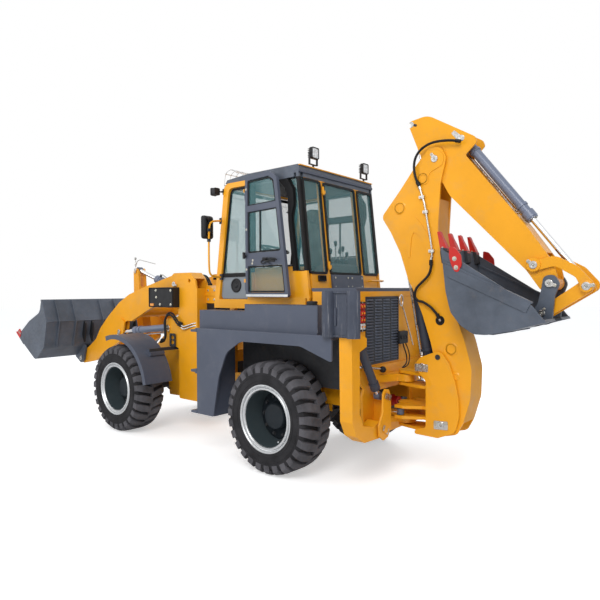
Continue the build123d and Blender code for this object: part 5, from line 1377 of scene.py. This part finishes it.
def hoe_edges():
    """The bucket's red teeth and side cutters, the strips along its mouth, and its wear ribs."""
    rows = (-0.345, -0.115, 0.115, 0.345)
    teeth = [tooth((-1.672, y, 2.262), (-1.612, y, 2.452)) for y in rows]
    roots = [turned((-1.655, y - 0.037, 2.300), (0, 1, 0), [(0, 0.009), (0.074, 0.009)], 12) for y in rows]
    cutters = both_sides(prism(rounded([(-1.735, 2.305), (-1.790, 2.290), (-1.845, 2.220), (-1.852, 2.130),
                                        (-1.822, 2.068), (-1.785, 2.075), (-1.752, 2.140), (-1.732, 2.210)],
                                       0.016), 0.396, 0.414))
    adaptors = [prism(rounded([(-1.712, 2.175), (-1.650, 2.150), (-1.632, 2.262), (-1.640, 2.300),
                               (-1.700, 2.292)], 0.012), y - 0.043, y + 0.043) for y in rows]
    piece("hoe_adaptors", adaptors, "iron", "backhoe_bucket", edge=0.004)
    piece("hoe_teeth", teeth, "red", "backhoe_bucket", edge=0.002)
    piece("hoe_tooth_pins", roots, "bolt", "backhoe_bucket")
    piece("hoe_side_cutters", cutters, "red", "backhoe_bucket", edge=0.0025)
    strip = both_sides(prism(rounded([(-1.690, 2.150), (-2.445, 1.795), (-2.405, 1.715), (-1.715, 2.030)], 0.012),
                             0.396, 0.410),
                       prism(rounded([(-1.672, 2.180), (-2.455, 1.805), (-2.449, 1.790), (-1.680, 2.158)], 0.004),
                             0.370, 0.412))
    piece("hoe_mouth_strips", strip, "slate", "backhoe_bucket", edge=0.003)
    cutter_bolts = side_bolts(((-1.800, 2.110), (-1.785, 2.190)), 0.412, 0.014, 0.010)
    piece("hoe_cutter_bolts", cutter_bolts, "bolt", "backhoe_bucket")
    ribs = both_sides(prism([(-1.700, 1.905), (-1.690, 1.902), (-1.738, 1.700), (-1.836, 1.582), (-1.956, 1.506),
                             (-2.071, 1.503), (-2.250, 1.540), (-2.250, 1.552), (-2.071, 1.514), (-1.954, 1.517),
                             (-1.834, 1.592), (-1.742, 1.708)], 0.175, 0.235))
    piece("hoe_wear_ribs", ribs, "slate", "backhoe_bucket", edge=0.002)
    guide_bosses = both_sides(turned((-2.385, 0.136, 2.123), (0, 1, 0),
                                     [(0, 0.060), (0.008, 0.060), (0.011, 0.056), (0.011, 0.030)], 32),
                              turned((-2.800, 0.136, 1.935), (0, 1, 0),
                                     [(-0.002, 0.050), (0.005, 0.050), (0.007, 0.046), (0.007, 0.0)], 32))
    piece("guide_bosses", guide_bosses, "yellow", "guide_links")


def backhoe_rams():
    """Bands, a heavy gland with its screws and a pipe on each ram of the arm; red glands of the swing rams."""
    for name, barrel, end, over in (("boom_ram", 0.054, 1.420, 1), ("dipper_ram", 0.044, 1.400, 1),
                                    ("bucket_ram", 0.045, 1.010, -1)):
        node = name + "_barrel"
        base, _, way = ram_line(name)
        up = np.array([way[2], 0, -way[0]]) * over
        bands = ram_bands(name, 1, barrel - 0.002, barrel + 0.009, ((0.14, 0.026), (end - 0.16, 0.026)))
        bands += [ring(base + way * (end - 0.074), way, [(0, barrel - 0.002), (0.003, barrel + 0.012),
                                                         (0.072, barrel + 0.012), (0.074, barrel - 0.002)], 36)]
        piece(name + "_bands", bands, finish_of(node), node)
        screws = []
        for a in np.linspace(0, 2 * np.pi, 9)[:-1]:
            at = base + way * end + (np.cross(way, up) * math.cos(a) + up * math.sin(a)) * (barrel - 0.006)
            screws.append(rod(at + way * 0.010, at + way * 0.018, 0.006, 8))
        piece(name + "_gland_screws", screws, "bolt", node)
        line = [base + way * at + up * (barrel + h) for at, h in
                ((0.10, -0.004), (0.115, 0.022), (0.17, 0.026), (0.5 * end, 0.020), (end - 0.22, 0.026),
                 (end - 0.13, 0.022), (end - 0.115, -0.004))]
        piece(name + "_pipe", [tube(smooth_path(line, 8), 0.009, 10)], "steel", node)
    # swing rams: flanged red gland blocks; stabiliser rams: two bands each
    for side, label in ((1, "left"), (-1, "right")):
        base, _, way = ram_line("swing_ram", side)
        gland = ring(base + way * 0.395, way,
                     [(0, 0.037), (0.002, 0.064), (0.022, 0.064), (0.024, 0.052), (0.100, 0.052), (0.106, 0.047),
                      (0.108, 0.026), (0.086, 0.026)], 32)
        piece("swing_gland_" + label, [gland], "red", "swing_ram_barrel_" + label)
        bands = ram_bands("stabiliser_ram", side, 0.040, 0.051, ((0.07, 0.02), (0.49, 0.075)), 32)
        piece("stabiliser_ram_bands_" + label, bands, "ram_dark", "stabiliser_ram_barrel_" + label)


class BACKHOE_OT_backhoe_details(bpy.types.Operator):
    """Makes the bosses, pin ends, hoses, pipes, teeth, cutters and ram fittings of the backhoe"""

    bl_idname = "backhoe.backhoe_details"
    bl_label = "Backhoe Details"

    def execute(self, context):
        boom_bosses()
        backhoe_pins()
        boom_hoses(context.scene.loader_sizes)
        hoe_edges()
        backhoe_rams()
        return {"FINISHED"}


def louvre_panel():
    """The louvre. A slot's height rises from its back edge along a quarter ellipse and falls off at both ends."""
    body = "chassis"
    u, v = np.meshgrid(np.linspace(-1, 1, 9), np.linspace(0, 1, 4), indexing="ij")
    height = 0.019 * np.sqrt(np.clip(1 - (1 - v) ** 2, 0, 1)) * (1 - u ** 8) * 0.98 + 0.0004
    top = np.stack([-height, u * 0.061, -0.016 * v], -1).reshape(-1, 3)
    low = np.stack([np.full_like(height, 0.002), u * 0.061, -0.016 * v], -1).reshape(-1, 3)
    points, faces = closed_sheet(top, low, 9, 4)
    slots = [(points + [-0.9035, 0.438 - 0.162 * column, 1.822 - 0.0295 * row], faces)
             for column in range(4) for row in range(22)]
    # the slots take the lighter mudguard grey against the darker panel: painted highlight on the slots
    piece("louvre_slots", slots, "grey", body, angle=50)
    frame_parts = [band(rectangle(-0.129, 1.160, 0.520, 1.845, 0.012), 0.016, -0.912, -0.902, "x")]
    frame_parts += [slab_box(-0.9062, -0.9025, y - 0.004, y + 0.004, 1.172, 1.833) for y in (0.033, 0.195, 0.357)]
    piece("louvre_frame", frame_parts, "louvre", body, edge=0.002)


def tail_lamps():
    """Tail lamps: three red cells and a clear one in a black base, with amber bars on them."""
    body = "chassis"
    red, amber, clear = [], [], []
    outline = rectangle(0.556, 1.506, 0.664, 1.796, 0.014)
    base = both_sides(band(outline, 0.010, -0.930, -0.903, "x"), prism(outline, -0.922, -0.903, "x"))
    for k, group in enumerate((red, red, red, clear)):
        z1 = 1.782 - 0.066 * k
        z0 = z1 - 0.060
        amber += both_sides(*[prism(rectangle(y - 0.011, z0 + 0.02, y + 0.011, z1 - 0.02, 0.004),
                                    -0.946, -0.930, "x") for y in (0.590, 0.630)])
        group += both_sides(*[prism(rectangle(0.567 + d, z0 + d, 0.653 - d, z1 - d, 0.010), x, -0.920, "x")
                              for x, d in ((-0.938, 0.0), (-0.943, 0.010))])
    screws = both_sides(*[hexagon_head((-0.930, 0.610, z), (-1, 0, 0), 0.006, 0.004) for z in (1.790, 1.650, 1.512)])
    piece("tail_lamp_bases", base, "black", body, edge=0.002)
    piece("tail_lamp_red", red, "red_lens", body, edge=0.004)
    piece("tail_lamp_amber", amber, "amber_lens", body, edge=0.004)
    piece("tail_lamp_clear", clear, "clear_lens", body, edge=0.004)
    piece("tail_lamp_screws", screws, "bolt", body)


def steps_and_tank():
    """Raised bars on the steps and on the mudguards' edge, the noses of the steps, and the tank's caps and bead."""
    body = "chassis"
    treads = []
    for x, z in [(0.825 + 0.040 * k, z) for z in (0.540, 1.000) for k in range(7)]:
        bar = rounded([(x, z), (x + 0.018, z), (x + 0.014, z + 0.006), (x + 0.004, z + 0.006)], 0.001)
        treads += both_sides(prism(bar, 0.745, 1.020))
    for x in 0.36 + 0.045 * np.arange(16):
        bar = [(x, 1.480), (x + 0.020, 1.480), (x + 0.015, 1.485), (x + 0.005, 1.485)]
        treads += both_sides(prism(bar, 0.975, 1.030))
    piece("step_treads", treads, "pad", body)
    noses = [rounded([(1.060, z), (1.165, z), (1.165, z + 0.028), (1.060, z + 0.036)], 0.006)
             for z in (0.500, 0.975, 1.440)]
    piece("step_noses", both_sides(*[prism(nose, 0.700, 1.045) for nose in noses]), "grey", body, edge=0.003)
    # dark plates inside the rear wheel arches: painted shade over the tyres
    shade_plates = both_sides(prism(rectangle(-0.780, 0.900, 0.760, 1.470, 0.06), 0.575, 0.590))
    piece("arch_painted_shade_plates", shade_plates, "iron", body, edge=0.002)
    lip = both_sides(tube([(-0.868, 1.032, 1.4805), (-0.2, 1.032, 1.4805), (0.5, 1.032, 1.4805),
                           (1.088, 1.032, 1.4805)], 0.007, 8))
    piece("mudguard_lips", lip, "grey", body)
    # tank: filler caps, and a bead along its outer edges
    cap = turned((-0.48, 0.835, 1.762), (0, 0, 1),
                 [(0, 0.062), (0.010, 0.062), (0.012, 0.050), (0.016, 0.050), (0.017, 0.056), (0.036, 0.055),
                  (0.042, 0.048), (0.044, 0.0)], 36)
    piece("tank_caps", both_sides(cap), "black", body)
    seam = [(-0.645, 0.957, 1.50), (-0.645, 0.957, 1.75), (-0.630, 0.957, 1.762), (-0.40, 0.957, 1.764),
            (0.345, 0.957, 1.764)]
    piece("tank_edges", both_sides(tube(smooth_path(seam, 3), 0.005, 6)), "pad", body)


def pad_sheets():
    """Stabiliser pads: one sheet with two upright rolls. Its height over the flat is a half ellipse across each
    roll and nothing between them; a second sheet a wall behind it closes the edge."""
    for side, label in ((1, "left"), (-1, "right")):
        node = "stabiliser_pad_" + label
        x, z = np.meshgrid(np.linspace(-0.205, 0.205, 73), np.linspace(1.478, 1.905, 9), indexing="ij")
        fold = 1 - (np.abs(np.abs(x) - PAD_FOLD[0]) / PAD_FOLD[1]) ** 2
        ridge = 0.066 * np.sqrt(np.clip(fold, 0, 1)) - 0.016
        end = 1 - 0.10 * ((z - 1.69) / 0.215) ** 8
        outer = np.stack([x - 1.005 + 0.030, side * (1.052 + ridge * end), z], -1).reshape(-1, 3)
        inner = outer - np.array([0, side * 0.011, 0])
        pad = add("pad_sheet_" + label, *closed_sheet(outer, inner, *x.shape), "pad", node, angle=50)
        outline = rounded([(side * 0.945, 1.625), (side * 0.945, 1.715), (side * 1.050, 1.760),
                           (side * 1.050, 1.580)], 0.02)
        lugs = [prism(outline, low, low + 0.022, "x") for low in (-1.105, -0.927)]
        y0, y1 = sorted((side * 1.040, side * 1.053))
        lugs += [slab_box(-1.170, -0.790, y0, y1, z, z + 0.015) for z in (1.485, 1.885)]
        piece("pad_lugs_" + label, lugs, "pad", node, edge=0.003)
        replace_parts(pad, node)
        face = [(-0.004, 0.022), (0.004, 0.022), (0.006, 0.018), (0.006, 0.0)]
        ends = [turned((x, side * 0.985, 1.670), (way, 0, 0), face, 20) for x, way in ((-1.133, -1), (-0.877, 1))]
        piece("pad_pin_ends_" + label, ends, "steel", "stabiliser_leg_" + label)


def rear_fittings():
    """Lock plates of the leg pins, the lever with its ball, the transport ring, the junction box and its cables."""
    body = "chassis"
    # lock plates of the leg pins on the rear frame, each turned by an angle
    plates, bolts = [], []
    for y, z, angle in ((0.497, 0.552, 35), (0.449, 0.865, 20)):
        cos, sin = math.cos(math.radians(angle)), math.sin(math.radians(angle))
        outline = [(y + u * cos - v * sin, z + u * sin + v * cos)
                   for u, v in ((-0.055, -0.028), (0.055, -0.028), (0.055, 0.028), (-0.055, 0.028))]
        plates += both_sides(prism(rounded(outline, 0.008), -1.124, -1.121, "x"))
        bolts += both_sides(*[hexagon_head((-1.124, y + u * cos, z + u * sin), (-1, 0, 0), 0.010, 0.002)
                              for u in (-0.036, 0.036)])
    piece("leg_lock_plates", plates, "steel", body)
    piece("leg_lock_bolts", bolts, "bolt", body)
    # lever with its black ball, and the strap ring with its rod on the rear panel
    lever = [rod((-0.930, 0.660, 1.168), (-0.960, 0.290, 1.102), 0.011, 12),
             rod((-0.895, 0.655, 1.164), (-0.950, 0.655, 1.164), 0.014, 12)]
    piece("lock_lever", lever, "steel", body)
    ball = turned((-0.960, 0.318, 1.107), (-0.08, -0.98, -0.18),
                  [(0.0, 0.016), (0.008, 0.026), (0.024, 0.033), (0.040, 0.033), (0.056, 0.026), (0.064, 0.016),
                   (0.067, 0.0)], 20)
    piece("lever_ball", [ball], "black", body)
    angle = np.linspace(0, 2 * np.pi, 33)[:-1]
    loop = np.stack([np.full(32, -0.935), -0.143 + 0.036 * np.cos(angle), 1.800 + 0.058 * np.sin(angle)], 1)
    ring_line = np.concatenate([loop, loop[:1]])
    clips = [tube(ring_line, 0.0075, 10, ends=False),
             rod((-0.935, -0.160, 1.745), (-0.935, -0.196, 1.690), 0.006, 10),
             rod((-0.935, -0.196, 1.700), (-0.945, -0.387, 1.299), 0.007, 10)]
    piece("transport_ring", clips, "steel", body)
    block_parts = [prism(rectangle(-0.090, 1.330, -0.276, 1.466, 0.02), -0.945, -0.905, "x")]
    block_parts += [turned((-0.945, y, 1.40), (-1, 0, 0), [(0, 0.02), (0.012, 0.02), (0.016, 0.012), (0.016, 0.0)],
                           16) for y in (-0.13, -0.18, -0.23)]
    piece("junction_box", block_parts, "black", body, edge=0.003)
    cables = [((-0.935, -0.18, 1.335), (-0.945, -0.19, 1.28), (-0.955, -0.22, 1.20), (-0.965, -0.20, 1.12),
               (-0.960, -0.12, 1.075)),
              ((-0.935, -0.23, 1.335), (-0.950, -0.26, 1.27), (-0.960, -0.28, 1.18), (-0.965, -0.24, 1.10),
               (-0.955, -0.16, 1.070))]
    cables = [tube(smooth_path(line, 6), radius, 8) for line, radius in zip(cables, (0.007, 0.006))]
    piece("rear_cables", cables, "hose", body)


def seen_inside():
    """Forms seen through glass and gaps: the lining under the roof, the side boxes and the engine."""
    body = "chassis"
    # dark lining under the roof, and the amber boxes seen through the doors' low panes
    piece("headlining", [slab_box(-0.150, 0.870, -0.630, 0.630, 3.135, 3.160)], "lining", body, edge=0.01)
    boxes = both_sides(prism(rectangle(-0.13, 1.765, 0.54, 2.170, 0.02), 0.52, 0.66))
    piece("side_boxes", boxes, "yellow", body, edge=0.006)
    # engine seen under the body: ribs, and a pulley and a filter on each side
    engine = [slab_box(-0.66 + 0.09 * k, -0.62 + 0.09 * k, -0.378, 0.378, 0.93, 1.55) for k in range(11)]
    engine += both_sides(turned((-0.45, 0.36, 1.05), (0, 1, 0),
                                [(0, 0.07), (0.06, 0.07), (0.065, 0.055), (0.09, 0.055), (0.092, 0.0)], 28),
                         turned((0.05, 0.36, 1.12), (0, 1, 0),
                                [(0, 0.05), (0.12, 0.05), (0.125, 0.04), (0.13, 0.0)], 24))
    piece("engine_ribs", engine, "iron", body, edge=0.003)


class BACKHOE_OT_body_details(bpy.types.Operator):
    """Makes the louvre, lamps, steps, stabiliser pads, lock plates, lever and tank fittings of the body"""

    bl_idname = "backhoe.body_details"
    bl_label = "Body Details"

    def execute(self, context):
        louvre_panel()
        tail_lamps()
        steps_and_tank()
        pad_sheets()
        rear_fittings()
        seen_inside()
        return {"FINISHED"}


FLOOR_REACH = 60.0                         # half the side of the floor
FLOOR_LIFT = 0.45                          # glow of the floor where the camera sees it
CAMERA_PLACE = (-3.830, 5.038, 1.905)      # from the rear axle; the fit to the photo gave it, with the turn
CAMERA_TURN = (-50.16, -0.945, -0.271)     # yaw, pitch and roll in degrees
CAMERA_LENS = 32.33
# Each lamp's place, what it aims at, its size and its power
LAMPS = {"key": ((-6.0, 9.0, 9.0), (0, 0, 1.0), 6.0, 720), "fill": ((6.0, 9.0, 5.0), (0.5, 0, 1.2), 7.0, 220),
         "rim": ((2.0, -9.0, 7.0), (0, 0, 1.5), 6.0, 380)}


def linked(tree, kind, *sources):
    """A new node whose first sockets are linked to the sources."""
    node = tree.nodes.new(kind)
    for socket, source in zip(node.inputs, sources):
        tree.links.new(source, socket)
    return node


def set_down(name, data, place, right, up, back):
    """An object at a place, with its own axes along three unit vectors."""
    obj = bpy.data.objects.new(name, data)
    bpy.context.scene.collection.objects.link(obj)
    obj.matrix_world = Matrix.Translation(place) @ Matrix((right, up, back)).transposed().to_4x4()
    return obj


class BACKHOE_OT_stage(bpy.types.Operator):
    """Makes the floor, the lamps and the camera"""

    bl_idname = "backhoe.stage"
    bl_label = "Stage"

    def execute(self, context):
        scene = context.scene
        floor = bpy.data.meshes.new("floor")
        s = FLOOR_REACH
        floor.from_pydata([(-s, -s, 0), (s, -s, 0), (s, s, 0), (-s, s, 0)], [], [(0, 1, 2, 3)])
        floor_object = bpy.data.objects.new("floor", floor)
        scene.collection.objects.link(floor_object)
        material, tree, shader = node_tree("pale_floor")
        ramp(tree, noise(tree, 0.4, 3), (0.3, (0.86,) * 3), (0.7, (0.9,) * 3), shader.inputs["Base Color"])
        preset(shader, Roughness=0.9, Emission_Color=(1, 1, 1, 1))
        lift = linked(tree, "ShaderNodeMath", tree.nodes.new("ShaderNodeLightPath").outputs["Is Camera Ray"])
        lift.operation = "MULTIPLY"
        lift.inputs[1].default_value = FLOOR_LIFT
        tree.links.new(lift.outputs[0], shader.inputs["Emission Strength"])
        floor.materials.append(material)

        # the world lights with a dim blue white, and is plain white where it is seen or mirrored
        scene.world = bpy.data.worlds.new("studio")
        scene.world.use_nodes = True
        tree = scene.world.node_tree
        tree.nodes.clear()
        skies = []
        for colour, strength in (((0.93, 0.96, 1.0, 1), 0.60), ((1, 1, 1, 1), 1.0)):
            sky = tree.nodes.new("ShaderNodeBackground")
            preset(sky, Color=colour, Strength=strength)
            skies.append(sky.outputs[0])
        path = tree.nodes.new("ShaderNodeLightPath").outputs
        seen = path["Is Camera Ray"]
        for ray in ("Is Transmission Ray", "Is Glossy Ray"):
            either = linked(tree, "ShaderNodeMath", seen, path[ray])
            either.operation = "MAXIMUM"
            seen = either.outputs[0]
        linked(tree, "ShaderNodeOutputWorld", linked(tree, "ShaderNodeMixShader", seen, *skies).outputs[0])

        for name, (place, aim, size, power) in LAMPS.items():
            data = bpy.data.lights.new(name, "AREA")
            data.shape, data.size, data.energy = "DISK", size, power
            way, side, up = frame_at(np.array(aim) - place)
            set_down(name, data, place, side, up, -way)

        camera = bpy.data.cameras.new("camera")
        camera.sensor_width, camera.lens = 36, CAMERA_LENS
        yaw, pitch, roll = (math.radians(turn) for turn in CAMERA_TURN)
        way = np.array([math.cos(yaw) * math.cos(pitch), math.sin(yaw) * math.cos(pitch), math.sin(pitch)])
        level = np.array([math.sin(yaw), -math.cos(yaw), 0])
        over = np.cross(level, way)
        scene.camera = set_down("camera", camera, np.array(CAMERA_PLACE) + [AXLE_X, 0, 0],
                                math.cos(roll) * level + math.sin(roll) * over,
                                math.cos(roll) * over - math.sin(roll) * level, -way)
        scene.view_settings.view_transform = "Standard"
        return {"FINISHED"}


class BACKHOE_PT_panel(bpy.types.Panel):
    bl_label = "Backhoe Loader"
    bl_idname = "BACKHOE_PT_panel"
    bl_space_type = "VIEW_3D"
    bl_region_type = "UI"
    bl_category = "Backhoe"

    def draw(self, context):
        paint_group, sizes = context.scene.loader_paint, context.scene.loader_sizes
        for name in LoaderPaint.__annotations__:
            self.layout.prop(paint_group, name)
        for name in LoaderSizes.__annotations__:
            self.layout.prop(sizes, name)
        for operator in OPERATORS:
            self.layout.operator(operator.bl_idname)


OPERATORS = (BACKHOE_OT_stage, BACKHOE_OT_shells, BACKHOE_OT_wheels, BACKHOE_OT_glazing, BACKHOE_OT_doors,
             BACKHOE_OT_cab_fittings, BACKHOE_OT_seat, BACKHOE_OT_loader_details,
             BACKHOE_OT_backhoe_details, BACKHOE_OT_body_details)
CLASSES = (LoaderPaint, LoaderSizes, *OPERATORS, BACKHOE_PT_panel)


def register():
    for cls in CLASSES:
        bpy.utils.register_class(cls)
    bpy.types.Scene.loader_paint = bpy.props.PointerProperty(type=LoaderPaint)
    bpy.types.Scene.loader_sizes = bpy.props.PointerProperty(type=LoaderSizes)


def unregister():
    del bpy.types.Scene.loader_sizes
    del bpy.types.Scene.loader_paint
    for cls in reversed(CLASSES):
        bpy.utils.unregister_class(cls)


def main():
    register()
    make_materials(bpy.context.scene.loader_paint)
    for operator in OPERATORS:
        getattr(bpy.ops.backhoe, operator.bl_idname.split(".")[1])()


if __name__ == "__main__":
    main()
